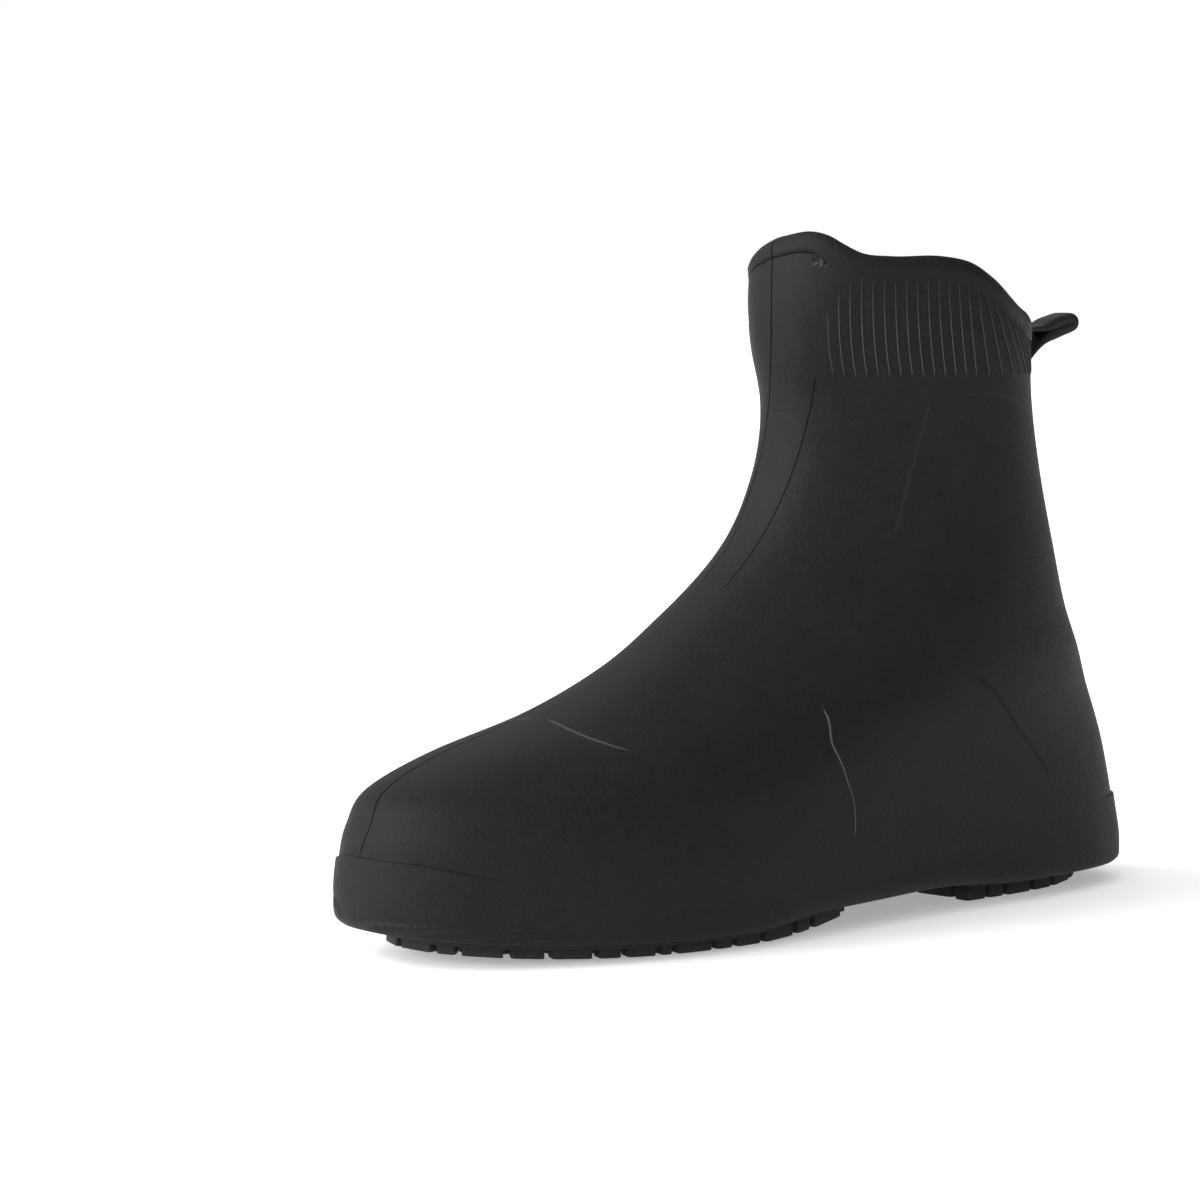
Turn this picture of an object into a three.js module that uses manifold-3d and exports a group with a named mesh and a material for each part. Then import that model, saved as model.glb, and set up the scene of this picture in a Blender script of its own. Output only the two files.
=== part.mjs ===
// A pull-on overshoe of black moulded rubber, for the left foot, in millimetres.
// It is an ankle-high hollow shell with a ribbed cuff, a thick band round its mouth,
// two cleated treads under its sole and a pull loop at the back of its cuff.
// The toe points to -Y, the heel to +Y, the outer side of the foot to +X, and +Z is up.
import * as THREE from "three";
import { mergeVertices } from "three/addons/utils/BufferGeometryUtils.js";
import Module from "manifold-3d";

// Overall sizes.
const LENGTH = 310;
const WIDTH = 105;
const HEIGHT = 223;

// Rubber thicknesses.
const WALL = 1.8;
const SOLE_THICKNESS = 4;
const SEAT_GAP = 0.3;

// Toe and arch.
const TOE_IN = 9.5;
const TOE_IN_BALANCE = 0.115;
const TOE_SPRING = 5;
const SPRING_START = 0.706 * LENGTH;
const ARCH_LIFT = 2;
const ARCH_PLACE = 0.352 * LENGTH;
const ARCH_REACH = 0.103 * LENGTH;
const LIFT_FADE_HEIGHT = 0.27 * HEIGHT;

// The thicker rubber round toe and heel, with its raised edge. It fades out along the sides,
// between two turns from the front of the shoe.
const FOXING_HEIGHT = 0.1323 * HEIGHT;
const FOXING_DROP = 4;
const FOXING_STEP = 0.9;
const TOE_FOXING_FADE = { from: 0.14, outer: 0.21, inner: 0.34 };
const HEEL_FOXING_FADE = { from: 0.82, to: 0.9 };
const FOXING_DIP = { from: 0.08, to: 0.21, backFrom: 0.3, backTo: 0.8 };

// The inner side of the foot is drawn in under the ball, from one share of the length to the next.
const INSET_FROM = 0.25;
const INSET_FULL = 0.5;

// Cuff.
const CUFF_BOTTOM = 0.7892 * HEIGHT;
const BAND_HEIGHT = 6.5;
const BAND_PROUD = 1;
const RIB_PITCH = 3.65;
const RIB_WIDTH = 1.1;
const RIB_HEIGHT = 0.5;
const RIB_END = 0.5;
const RIB_TOP_SPACE = 2;
const RIB_FRONT_SPACE = 15;

// Treads.
const TREAD_THICKNESS = 4.6;
const TREAD_WEB = 1.9;
const FOREFOOT_BACK = 0.49 * LENGTH;
const FOREFOOT_BEVEL = 24;
const FOREFOOT_BEVEL_RISE = 1.2;
const HEEL_FRONT = 0.2775 * LENGTH;
const HEEL_BEVEL_START = 40;
const HEEL_BEVEL = 32;
const HEEL_BEVEL_RISE = 2;
const CLEAT_LENGTH = 8.4;
const CLEAT_GAP = 1.8;
const CLEAT_WIDTH = 6.5;
const CLEAT_DRAFT = 0.35;
const CLEAT_EMBED = 0.8;
const BAR_DEPTH = 6.3;
const BAR_MARGIN = 0.8;
const BAR_SLANT = 1.26;

// Pull loop.
const LOOP_WIDTH = 10;
const LOOP_THICKNESS = 2.2;
const LOOP_REACH = 35;
const LOOP_SPAN = 22;
const LOOP_TOP_DROP = 2.2;

// How finely the rubber is faceted.
const OUTER_COLUMNS = 72;
const INNER_COLUMNS = 52;
const BAND_COLUMNS = 78;
const LEAST_ROW = 1.5;
const WEB_ROWS = 16;
const WEB_REACH = 0.985;
const EDGE_WALK_STEPS = 60;
const EDGE_WALK_REACH = 0.97;
const LOOP_STEPS = 24;

// Level cuts through the shell. Heights are shares of HEIGHT, toe and heel ends are shares of
// LENGTH from the heel, half widths are shares of WIDTH at four stations between the ends, and
// inset is the share of the half width that the inner side of the foot loses under the ball.
const SECTION_ROWS = [
  { height: 0.0225, toeEnd: 0.978, heelEnd: 0.022, heel: 0.343, waist: 0.324, ball: 0.476, toe: 0.467, inset: 0.16 },
  { height: 0.0405, toeEnd: 0.9905, heelEnd: 0.008, heel: 0.419, waist: 0.381, ball: 0.505, toe: 0.514, inset: 0.1 },
  { height: 0.063, toeEnd: 0.996, heelEnd: 0.004, heel: 0.451, waist: 0.4, ball: 0.514, toe: 0.533, inset: 0.03 },
  { height: 0.1165, toeEnd: 0.993, heelEnd: 0.014, heel: 0.481, waist: 0.419, ball: 0.533, toe: 0.543, inset: 0 },
  { height: 0.1705, toeEnd: 0.985, heelEnd: 0.0225, heel: 0.491, waist: 0.438, ball: 0.524, toe: 0.529, inset: 0 },
  { height: 0.224, toeEnd: 0.958, heelEnd: 0.032, heel: 0.481, waist: 0.448, ball: 0.505, toe: 0.49, inset: 0 },
  { height: 0.269, toeEnd: 0.898, heelEnd: 0.044, heel: 0.471, waist: 0.452, ball: 0.476, toe: 0.457, inset: 0 },
  { height: 0.314, toeEnd: 0.795, heelEnd: 0.059, heel: 0.461, waist: 0.452, ball: 0.449, toe: 0.414, inset: 0 },
  { height: 0.368, toeEnd: 0.7, heelEnd: 0.074, heel: 0.45, waist: 0.447, ball: 0.41, toe: 0.371, inset: 0 },
  { height: 0.4395, toeEnd: 0.6145, heelEnd: 0.099, heel: 0.43, waist: 0.43, ball: 0.378, toe: 0.333, inset: 0 },
  { height: 0.529, toeEnd: 0.537, heelEnd: 0.121, heel: 0.408, waist: 0.404, ball: 0.335, toe: 0.286, inset: 0 },
  { height: 0.637, toeEnd: 0.4935, heelEnd: 0.142, heel: 0.384, waist: 0.385, ball: 0.311, toe: 0.267, inset: 0 },
  { height: 0.753, toeEnd: 0.4805, heelEnd: 0.1565, heel: 0.377, waist: 0.378, ball: 0.312, toe: 0.267, inset: 0 },
  { height: 0.8295, toeEnd: 0.484, heelEnd: 0.158, heel: 0.374, waist: 0.386, ball: 0.327, toe: 0.295, inset: 0 },
  { height: 0.897, toeEnd: 0.487, heelEnd: 0.1645, heel: 0.367, waist: 0.393, ball: 0.343, toe: 0.319, inset: 0 },
  { height: 1, toeEnd: 0.489, heelEnd: 0.174, heel: 0.371, waist: 0.405, ball: 0.367, toe: 0.348, inset: 0 },
];
const STATIONS = { heel: 0, waist: 0.38, ball: 0.72, toe: 1 };
const ROUNDING = 0.79;

// The wavy rim of the mouth. Turn goes round the shoe: 0 at the back, 1 at the front, 2 at the
// back again, with the outer side of the foot first. Height is a share of HEIGHT.
const RIM_ROWS = [
  { turn: 0, height: 0.89 },
  { turn: 0.3, height: 0.892 },
  { turn: 0.42, height: 0.906 },
  { turn: 0.5, height: 0.946 },
  { turn: 0.56, height: 0.961 },
  { turn: 0.68, height: 0.963 },
  { turn: 0.76, height: 0.968 },
  { turn: 0.81, height: 0.984 },
  { turn: 0.86, height: 0.997 },
  { turn: 0.92, height: 1 },
  { turn: 0.98, height: 0.992 },
  { turn: 1.06, height: 0.968 },
  { turn: 1.18, height: 0.961 },
  { turn: 1.44, height: 0.96 },
  { turn: 1.5, height: 0.946 },
  { turn: 1.58, height: 0.906 },
  { turn: 1.7, height: 0.892 },
  { turn: 2, height: 0.89 },
];

// The heights, as shares of HEIGHT, at which the shell's faces are cut below the cuff.
const OUTER_LEVELS = [
  0.031, 0.0405, 0.063, 0.09, 0.15, 0.1705, 0.197, 0.224, 0.247, 0.269, 0.291, 0.314, 0.341, 0.368, 0.402,
  0.4395, 0.484, 0.529, 0.583, 0.637, 0.695, 0.753,
];
const INNER_LEVELS = [0.063, 0.1165, 0.1705, 0.224, 0.269, 0.314, 0.368, 0.4395, 0.529, 0.637, 0.753];

// The side view of the pull loop, from its upper root round its tip to its lower root.
// Out is a share of LOOP_REACH from the cuff, and down a share of LOOP_SPAN from the upper root.
const LOOP_ROUTE = [
  { out: 0, down: 0 },
  { out: 0.22, down: -0.04 },
  { out: 0.46, down: -0.08 },
  { out: 0.7, down: -0.22 },
  { out: 0.88, down: -0.33 },
  { out: 0.97, down: -0.31 },
  { out: 0.98, down: -0.2 },
  { out: 0.88, down: -0.1 },
  { out: 0.7, down: 0.06 },
  { out: 0.5, down: 0.26 },
  { out: 0.26, down: 0.62 },
  { out: 0, down: 1 },
];

const rubber = () => new THREE.MeshStandardMaterial({ color: 0x242424, roughness: 0.55, metalness: 0 });

// A smooth curve through the rows of a table, read at a place along its first column.
function smoothThrough(places, values) {
  const rise = places.slice(1).map((place, i) => (values[i + 1] - values[i]) / (place - places[i]));
  const slopes = values.map((_, i) => {
    if (i === 0) return rise[0];
    if (i === values.length - 1) return rise[i - 1];
    const before = places[i] - places[i - 1];
    const after = places[i + 1] - places[i];
    return (rise[i - 1] * after + rise[i] * before) / (before + after);
  });
  return (place) => {
    const at = THREE.MathUtils.clamp(place, places[0], places[places.length - 1]);
    const next = places.findIndex((p) => p > at);
    const k = next < 0 ? places.length - 2 : next - 1;
    const step = places[k + 1] - places[k];
    const u = (at - places[k]) / step;
    const a = (1 + 2 * u) * (1 - u) ** 2;
    const b = u * (1 - u) ** 2;
    const c = u * u * (3 - 2 * u);
    const d = u * u * (u - 1);
    return a * values[k] + b * step * slopes[k] + c * values[k + 1] + d * step * slopes[k + 1];
  };
}

const column = (rows, key, name) =>
  smoothThrough(
    rows.map((row) => row[key]),
    rows.map((row) => row[name]),
  );
const sectionCurves = Object.fromEntries(
  ["toeEnd", "heelEnd", "heel", "waist", "ball", "toe", "inset"].map((name) => [
    name,
    column(SECTION_ROWS, "height", name),
  ]),
);
const rimCurve = column(RIM_ROWS, "turn", "height");
const ramp = (from, to, x) => THREE.MathUtils.smoothstep(x, from, to);

// The section at a height above the floor: its ends along the foot and its half width curve.
function sectionAt(level) {
  const share = level / HEIGHT;
  const names = Object.keys(STATIONS);
  return {
    toeEnd: sectionCurves.toeEnd(share) * LENGTH,
    heelEnd: sectionCurves.heelEnd(share) * LENGTH,
    inset: sectionCurves.inset(share),
    half: smoothThrough(
      names.map((name) => STATIONS[name]),
      names.map((name) => sectionCurves[name](share) * WIDTH),
    ),
  };
}

// The half width of a section at a share of its length from the heel.
function halfWidth(section, share, innerSide) {
  const round = (2 * Math.sqrt(Math.max(0, share * (1 - share)))) ** ROUNDING;
  const loss = innerSide ? section.inset * ramp(INSET_FROM, INSET_FULL, share) : 0;
  return round * section.half(share) * (1 - loss);
}

// How far the foot's middle line swings inwards, from the middle of the shoe to the toe.
const toeInAt = (along) => TOE_IN * THREE.MathUtils.clamp((2 * along) / LENGTH - 1, 0, 1) ** 2;

// How far the sole is lifted from level at a place along the foot: toe spring and arch.
const springAt = (along) =>
  TOE_SPRING * THREE.MathUtils.clamp((along - SPRING_START) / (LENGTH - SPRING_START), 0, 1) ** 2;
const liftAt = (along) => springAt(along) + ARCH_LIFT * Math.exp(-(((along - ARCH_PLACE) / ARCH_REACH) ** 2));

const SOLE_LEVEL = TREAD_THICKNESS + SEAT_GAP;
// A point from its place across the foot, along it from the heel and above the floor. The whole
// shoe moves a little outwards, so that the toe's swing inwards is balanced about the origin.
const toFrame = (across, along, up) =>
  new THREE.Vector3(across + TOE_IN * TOE_IN_BALANCE, LENGTH / 2 - along, up);

// A point of the shell's outer face, from its turn round the shoe and its level.
function facePoint(turn, level) {
  const section = sectionAt(level);
  const share = (1 - Math.cos(turn * Math.PI)) / 2;
  const innerSide = turn > 1;
  const half = halfWidth(section, share, innerSide);
  const along = section.heelEnd + (section.toeEnd - section.heelEnd) * share;
  const fade = THREE.MathUtils.clamp(1 - (level - SOLE_LEVEL) / LIFT_FADE_HEIGHT, 0, 1);
  return toFrame((innerSide ? -half : half) - toeInAt(along), along, level + liftAt(along) * fade);
}

// The outward direction of the face there.
function faceNormal(turn, level) {
  const step = 0.004;
  const rise = 0.5;
  const inside = THREE.MathUtils.clamp(turn, step, 2 - step);
  const low = Math.max(level - rise, SOLE_LEVEL);
  const round = facePoint(inside + step, level).sub(facePoint(inside - step, level));
  if (turn === 0 || turn === 1 || turn === 2) round.set(turn === 1 ? -1 : 1, 0, 0);
  const up = facePoint(turn, Math.min(low + 2 * rise, HEIGHT)).sub(facePoint(turn, low));
  return up.cross(round).normalize();
}

const offsetPoint = (turn, level, offset) =>
  facePoint(turn, level).addScaledVector(faceNormal(turn, level), offset);

// How far the thick rubber at toe and heel stands out, and the height at which it ends.
function foxingAt(turn) {
  const fromFront = Math.abs(turn - 1);
  const toeEnd = turn > 1 ? TOE_FOXING_FADE.inner : TOE_FOXING_FADE.outer;
  const toe = 1 - ramp(TOE_FOXING_FADE.from, toeEnd, fromFront);
  const heel = ramp(HEEL_FOXING_FADE.from, HEEL_FOXING_FADE.to, fromFront);
  const down = ramp(FOXING_DIP.from, FOXING_DIP.to, fromFront);
  const back = ramp(FOXING_DIP.backFrom, FOXING_DIP.backTo, fromFront);
  return {
    step: FOXING_STEP * Math.max(toe, heel),
    level: FOXING_HEIGHT - FOXING_DROP * down * (1 - back),
  };
}

// A closed surface, built from rings of points that are joined one to the next.
class Skin {
  constructor() {
    this.points = [];
    this.faces = [];
  }

  ring(turns, place) {
    const first = this.points.length;
    for (const turn of turns) this.points.push(place(turn));
    return { turns, first };
  }

  // Joins two closed rings, which may have different numbers of points.
  join(a, b) {
    const na = a.turns.length;
    const nb = b.turns.length;
    const turnOf = (ring, k) => (k < ring.turns.length ? ring.turns[k] : 2 + ring.turns[0]);
    for (let i = 0, j = 0; i < na || j < nb; ) {
      const stepA = j >= nb || (i < na && turnOf(a, i + 1) - turnOf(b, j) <= turnOf(b, j + 1) - turnOf(a, i));
      const pa = a.first + (i % na);
      const pb = b.first + (j % nb);
      if (stepA) this.faces.push([pa, pb, a.first + ((i + 1) % na)]);
      else this.faces.push([pa, pb, b.first + ((j + 1) % nb)]);
      if (stepA) i += 1;
      else j += 1;
    }
  }

  // Closes a ring by strips from one side of the foot to the other.
  closeAcross(ring, facingDown) {
    const n = ring.turns.length;
    const push = (p, q, r) => this.faces.push((facingDown ? [p, r, q] : [p, q, r]).map((k) => ring.first + (k % n)));
    for (let i = 0; i < n / 2; i += 1) {
      if (i > 0) push(i, n - i, i + 1);
      if (i < n / 2 - 1) push(i + 1, n - i, n - i - 1);
    }
  }

  geometry() {
    const flat = new Float32Array(this.points.flatMap((p) => p.toArray()));
    const made = new THREE.BufferGeometry();
    made.setAttribute("position", new THREE.BufferAttribute(flat, 3));
    made.setIndex(this.faces.flat());
    return made;
  }
}

const evenTurns = (count) => Array.from({ length: count }, (_, i) => (2 * i) / count);
const rimLevel = (turn) => rimCurve(turn) * HEIGHT;
const shellTop = (turn) => rimLevel(turn) - BAND_HEIGHT;
const ribTop = (turn) => shellTop(turn) - RIB_TOP_SPACE;

// The turns of the cuff's columns: three for each rib, and a few on the plain front and back.
function cuffColumns() {
  const level = (CUFF_BOTTOM + HEIGHT) / 2;
  const samples = evenTurns(720);
  const lengths = [0];
  samples.forEach((turn, i) => {
    const next = facePoint(turn + 2 / samples.length, level);
    lengths.push(lengths[i] + next.distanceTo(facePoint(turn, level)));
  });
  const total = lengths[lengths.length - 1];
  const half = lengths[samples.length / 2];
  const turnAt = (length) => {
    const i = Math.max(1, lengths.findIndex((l) => l >= length));
    const share = (length - lengths[i - 1]) / (lengths[i] - lengths[i - 1]);
    return ((i - 1 + share) * 2) / samples.length;
  };
  const backSpace = LOOP_WIDTH / 2 + RIB_PITCH;
  const columns = [{ turn: 0, raise: 0 }];
  const side = (from, to) => {
    const count = Math.floor((to - from) / RIB_PITCH);
    const start = (from + to - count * RIB_PITCH) / 2;
    for (let i = 0; i <= count; i += 1)
      for (const k of [-1, 0, 1]) {
        const length = start + i * RIB_PITCH + (k * RIB_WIDTH) / 2;
        columns.push({ turn: turnAt(length), raise: k === 0 ? RIB_HEIGHT : 0 });
      }
  };
  side(backSpace, half - RIB_FRONT_SPACE);
  for (const k of [-3, -2, -1, 0, 1, 2, 3]) columns.push({ turn: turnAt(half + (k * RIB_FRONT_SPACE) / 4), raise: 0 });
  side(half + RIB_FRONT_SPACE, total - backSpace);
  return columns;
}

function upperShell() {
  const skin = new Skin();
  const turns = evenTurns(OUTER_COLUMNS);
  const between = (shares, low, high) =>
    shares.map((share) => share * HEIGHT).filter((level) => level > low + LEAST_ROW && level < high - LEAST_ROW);
  const foot = (level) => (turn) => {
    const rounded = ramp(SOLE_LEVEL, SOLE_LEVEL + SOLE_THICKNESS, level);
    return offsetPoint(turn, level, foxingAt(turn).step * rounded);
  };
  const foxingEdge = (offset) => (turn) => {
    const { step, level } = foxingAt(turn);
    return offsetPoint(turn, level + offset, offset < 0 ? step : 0);
  };
  const below = between(OUTER_LEVELS, SOLE_LEVEL, FOXING_HEIGHT - FOXING_DROP);
  const above = between(OUTER_LEVELS, FOXING_HEIGHT, CUFF_BOTTOM - RIB_END);
  const outer = [SOLE_LEVEL, ...below].map((level) => skin.ring(turns, foot(level)));
  outer.push(skin.ring(turns, foxingEdge(-FOXING_STEP / 2)), skin.ring(turns, foxingEdge(FOXING_STEP / 2)));
  outer.push(...above.map((level) => skin.ring(turns, (turn) => facePoint(turn, level))));

  const columns = cuffColumns();
  const raises = new Map(columns.map(({ turn, raise }) => [turn, raise]));
  const cuffTurns = columns.map(({ turn }) => turn);
  const cuff = (level, ribbed) =>
    skin.ring(cuffTurns, (turn) => offsetPoint(turn, level(turn), ribbed ? raises.get(turn) : 0));
  outer.push(cuff(() => CUFF_BOTTOM - RIB_END, false));
  outer.push(cuff(() => CUFF_BOTTOM + RIB_END, true));
  outer.push(cuff((turn) => (CUFF_BOTTOM + ribTop(turn)) / 2, true));
  outer.push(cuff((turn) => ribTop(turn) - RIB_END, true));
  outer.push(cuff((turn) => ribTop(turn) + RIB_END, false));
  outer.push(cuff(shellTop, false));

  const innerTurns = evenTurns(INNER_COLUMNS);
  const floor = SOLE_LEVEL + SOLE_THICKNESS;
  const levels = [floor, ...between(INNER_LEVELS, floor, shellTop(0))].reverse();
  const inner = levels.map((level) => skin.ring(innerTurns, (turn) => offsetPoint(turn, level, -WALL)));
  const mouth = skin.ring(evenTurns(BAND_COLUMNS), (turn) => offsetPoint(turn, shellTop(turn), -WALL));

  const rings = [...outer, mouth, ...inner];
  rings.slice(1).forEach((ring, i) => skin.join(rings[i], ring));
  skin.closeAcross(rings[0], true);
  skin.closeAcross(rings[rings.length - 1], false);
  return skin.geometry();
}

// The band round the mouth: one rounded section carried along the rim.
function collarBand() {
  const bottom = SEAT_GAP - BAND_HEIGHT;
  const round = (WALL + BAND_PROUD) / 4;
  const section = [
    { out: BAND_PROUD - round / 2, up: bottom },
    { out: BAND_PROUD, up: bottom + round },
    { out: BAND_PROUD, up: -round },
    { out: BAND_PROUD - round, up: 0 },
    { out: round - WALL, up: 0 },
    { out: -WALL, up: -round },
    { out: -WALL, up: bottom },
  ];
  const skin = new Skin();
  const turns = evenTurns(BAND_COLUMNS);
  const rings = section.map(({ out, up }) =>
    skin.ring(turns, (turn) => offsetPoint(turn, rimLevel(turn) + up, out)),
  );
  rings.forEach((ring, i) => skin.join(ring, rings[(i + 1) % rings.length]));
  return skin.geometry();
}

// Each tread's plan: it follows the sole's edge, drawn in towards the tread's own straight end.
const TREAD_PLANS = {
  forefoot: { from: FOREFOOT_BACK, share: 0.94, drawnIn: 0.95 },
  heel: { from: HEEL_FRONT, share: 0.86, drawnIn: 0.86 },
};

// The tread's edge at a place along the foot, on the outer (+1) or inner (-1) side.
function treadEdge(plan, along, side) {
  const sole = sectionAt(SOLE_LEVEL);
  const spread = plan.from + (along - plan.from) / plan.drawnIn;
  const share = THREE.MathUtils.clamp((spread - sole.heelEnd) / (sole.toeEnd - sole.heelEnd), 0, 1);
  return side * plan.share * halfWidth(sole, share, side < 0) - toeInAt(along);
}

// The height of a tread's walking face: flat on the floor, lifted at the toe and bevelled at its ends.
function treadFloor(plan, along) {
  if (plan === TREAD_PLANS.heel) {
    const back = THREE.MathUtils.clamp((HEEL_BEVEL_START - along) / HEEL_BEVEL, 0, 1);
    return HEEL_BEVEL_RISE * back ** 2;
  }
  const bevel = THREE.MathUtils.clamp((FOREFOOT_BACK + FOREFOOT_BEVEL - along) / FOREFOOT_BEVEL, 0, 1) ** 2;
  return springAt(along) + FOREFOOT_BEVEL_RISE * bevel;
}

const webTop = (along) => SOLE_LEVEL - SEAT_GAP + liftAt(along);
const webBottom = (along) => webTop(along) - TREAD_WEB;

// The far end of a tread: where the sole's own end comes to, drawn in as its plan says.
function treadEnd(plan) {
  const sole = sectionAt(SOLE_LEVEL);
  const end = plan === TREAD_PLANS.heel ? sole.heelEnd : sole.toeEnd;
  return plan.from + (end - plan.from) * plan.drawnIn;
}

// The thin web that joins the cleats, as rows across the foot.
function treadWeb(plan) {
  const end = treadEnd(plan);
  const points = [];
  const faces = [];
  for (let i = 0; i <= WEB_ROWS; i += 1) {
    const along = plan.from + (end - plan.from) * Math.sin((WEB_REACH * Math.PI * i) / (2 * WEB_ROWS));
    for (const side of [1, -1])
      for (const height of [webTop, webBottom])
        points.push(toFrame(treadEdge(plan, along, side), along, height(along)));
  }
  const forward = plan === TREAD_PLANS.forefoot;
  const quad = (a, b, c, d) => faces.push(...(forward ? [[a, b, c], [a, c, d]] : [[a, c, b], [a, d, c]]));
  for (let i = 0; i < WEB_ROWS; i += 1) {
    const k = 4 * i;
    quad(k, k + 2, k + 6, k + 4);
    quad(k + 1, k + 5, k + 7, k + 3);
    quad(k, k + 4, k + 5, k + 1);
    quad(k + 2, k + 3, k + 7, k + 6);
  }
  quad(0, 1, 3, 2);
  const last = 4 * WEB_ROWS;
  quad(last, last + 2, last + 3, last + 1);
  return solidFrom(points, faces);
}

// One cleat: four corners in plan, standing on the floor and tapering a little towards it.
function cleat(plan, corners) {
  const middle = corners.reduce((sum, c) => sum.add(c), new THREE.Vector2()).divideScalar(corners.length);
  const points = [];
  for (const foot of [true, false])
    for (const corner of corners) {
      const reach = corner.clone().sub(middle);
      const at = middle.clone().addScaledVector(reach, foot ? 1 - CLEAT_DRAFT / reach.length() : 1);
      points.push(toFrame(at.x, at.y, foot ? treadFloor(plan, corner.y) : webBottom(corner.y) + CLEAT_EMBED));
    }
  const turnsLeft = new THREE.Vector2().subVectors(corners[1], corners[0]).cross(
    new THREE.Vector2().subVectors(corners[2], corners[0]),
  ) > 0;
  const faces = [[0, 1, 2], [0, 2, 3], [4, 6, 5], [4, 7, 6]];
  for (let i = 0; i < 4; i += 1) {
    const next = (i + 1) % 4;
    faces.push([i, i + 4, next], [next, i + 4, next + 4]);
  }
  return solidFrom(points, turnsLeft ? faces : faces.map(([a, b, c]) => [a, c, b]));
}

// The cleats along a tread's edge: the edge is walked once, and each cleat turns with it.
function edgeCleats(plan) {
  const end = treadEnd(plan);
  const walk = [];
  for (const side of [1, -1])
    for (let i = 0; i <= EDGE_WALK_STEPS; i += 1) {
      const share = side > 0 ? i / EDGE_WALK_STEPS : 1 - i / EDGE_WALK_STEPS;
      const along = plan.from + (end - plan.from) * Math.sin((EDGE_WALK_REACH * Math.PI * share) / 2);
      walk.push(new THREE.Vector2(treadEdge(plan, along, side), along));
    }
  const lengths = [0];
  walk.slice(1).forEach((p, i) => lengths.push(lengths[i] + p.distanceTo(walk[i])));
  const total = lengths[lengths.length - 1];
  const at = (length) => {
    const i = Math.min(walk.length - 1, Math.max(1, lengths.findIndex((l) => l >= length)));
    const share = (length - lengths[i - 1]) / (lengths[i] - lengths[i - 1]);
    return walk[i - 1].clone().lerp(walk[i], share);
  };
  const inward = (length) => {
    const a = at(Math.max(0, length - 2));
    const b = at(Math.min(total, length + 2));
    const along = b.sub(a).normalize();
    const turn = plan === TREAD_PLANS.forefoot ? -1 : 1;
    return new THREE.Vector2(turn * -along.y, turn * along.x).negate();
  };
  const count = Math.round((total + CLEAT_GAP) / (CLEAT_LENGTH + CLEAT_GAP));
  const pitch = (total + CLEAT_GAP) / count;
  return Array.from({ length: count }, (_, i) => {
    const from = i * pitch;
    const to = from + pitch - CLEAT_GAP;
    const corner = (length, depth) => at(length).addScaledVector(inward(length), depth);
    return cleat(plan, [
      corner(from, CLEAT_DRAFT),
      corner(to, CLEAT_DRAFT),
      corner(to, CLEAT_WIDTH),
      corner(from, CLEAT_WIDTH),
    ]);
  });
}

// The bars across the middle of a tread, in slanted pairs.
function middleCleats(plan) {
  const end = treadEnd(plan);
  const forward = Math.sign(end - plan.from);
  const margin = CLEAT_WIDTH + CLEAT_GAP + BAR_MARGIN;
  const pitch = BAR_DEPTH + CLEAT_GAP;
  const reach = Math.abs(end - plan.from) - CLEAT_WIDTH - 2 * CLEAT_GAP;
  const made = [];
  for (let near = CLEAT_GAP / 2; near + BAR_DEPTH < reach; near += pitch) {
    const alongs = [near, near + BAR_DEPTH].map((d) => plan.from + forward * d);
    const sides = [-1, 1].map((side) => {
      const edges = alongs.map((along) => side * treadEdge(plan, along, side) - margin);
      return side * Math.min(...edges);
    });
    const split = (sides[0] + sides[1]) / 2;
    for (const [from, to] of [
      [sides[0], split - CLEAT_GAP / 2],
      [split + CLEAT_GAP / 2, sides[1]],
    ]) {
      if (to - from < CLEAT_GAP) continue;
      const slant = forward * BAR_SLANT * (from < split ? -1 : 1);
      made.push(
        cleat(plan, [
          new THREE.Vector2(from, alongs[0] - slant),
          new THREE.Vector2(to, alongs[0] + slant),
          new THREE.Vector2(to, alongs[1] + slant),
          new THREE.Vector2(from, alongs[1] - slant),
        ]),
      );
    }
  }
  return made;
}

const wasm = await Module();
wasm.setup();

function solidFrom(points, faces) {
  const made = new THREE.BufferGeometry();
  made.setAttribute("position", new THREE.BufferAttribute(new Float32Array(points.flatMap((p) => p.toArray())), 3));
  made.setIndex(faces.flat());
  const merged = mergeVertices(made, 1e-4);
  return new wasm.Manifold(
    new wasm.Mesh({
      numProp: 3,
      vertProperties: merged.attributes.position.array,
      triVerts: new Uint32Array(merged.index.array),
    }),
  );
}

function geometryOf(solid) {
  const mesh = solid.getMesh();
  const made = new THREE.BufferGeometry();
  made.setAttribute("position", new THREE.BufferAttribute(mesh.vertProperties, 3));
  made.setIndex(new THREE.BufferAttribute(mesh.triVerts, 1));
  return made;
}

function tread(plan) {
  const cleats = [...edgeCleats(plan), ...middleCleats(plan)];
  return geometryOf(cleats.reduce((solid, next) => solid.add(next), treadWeb(plan)));
}

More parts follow.
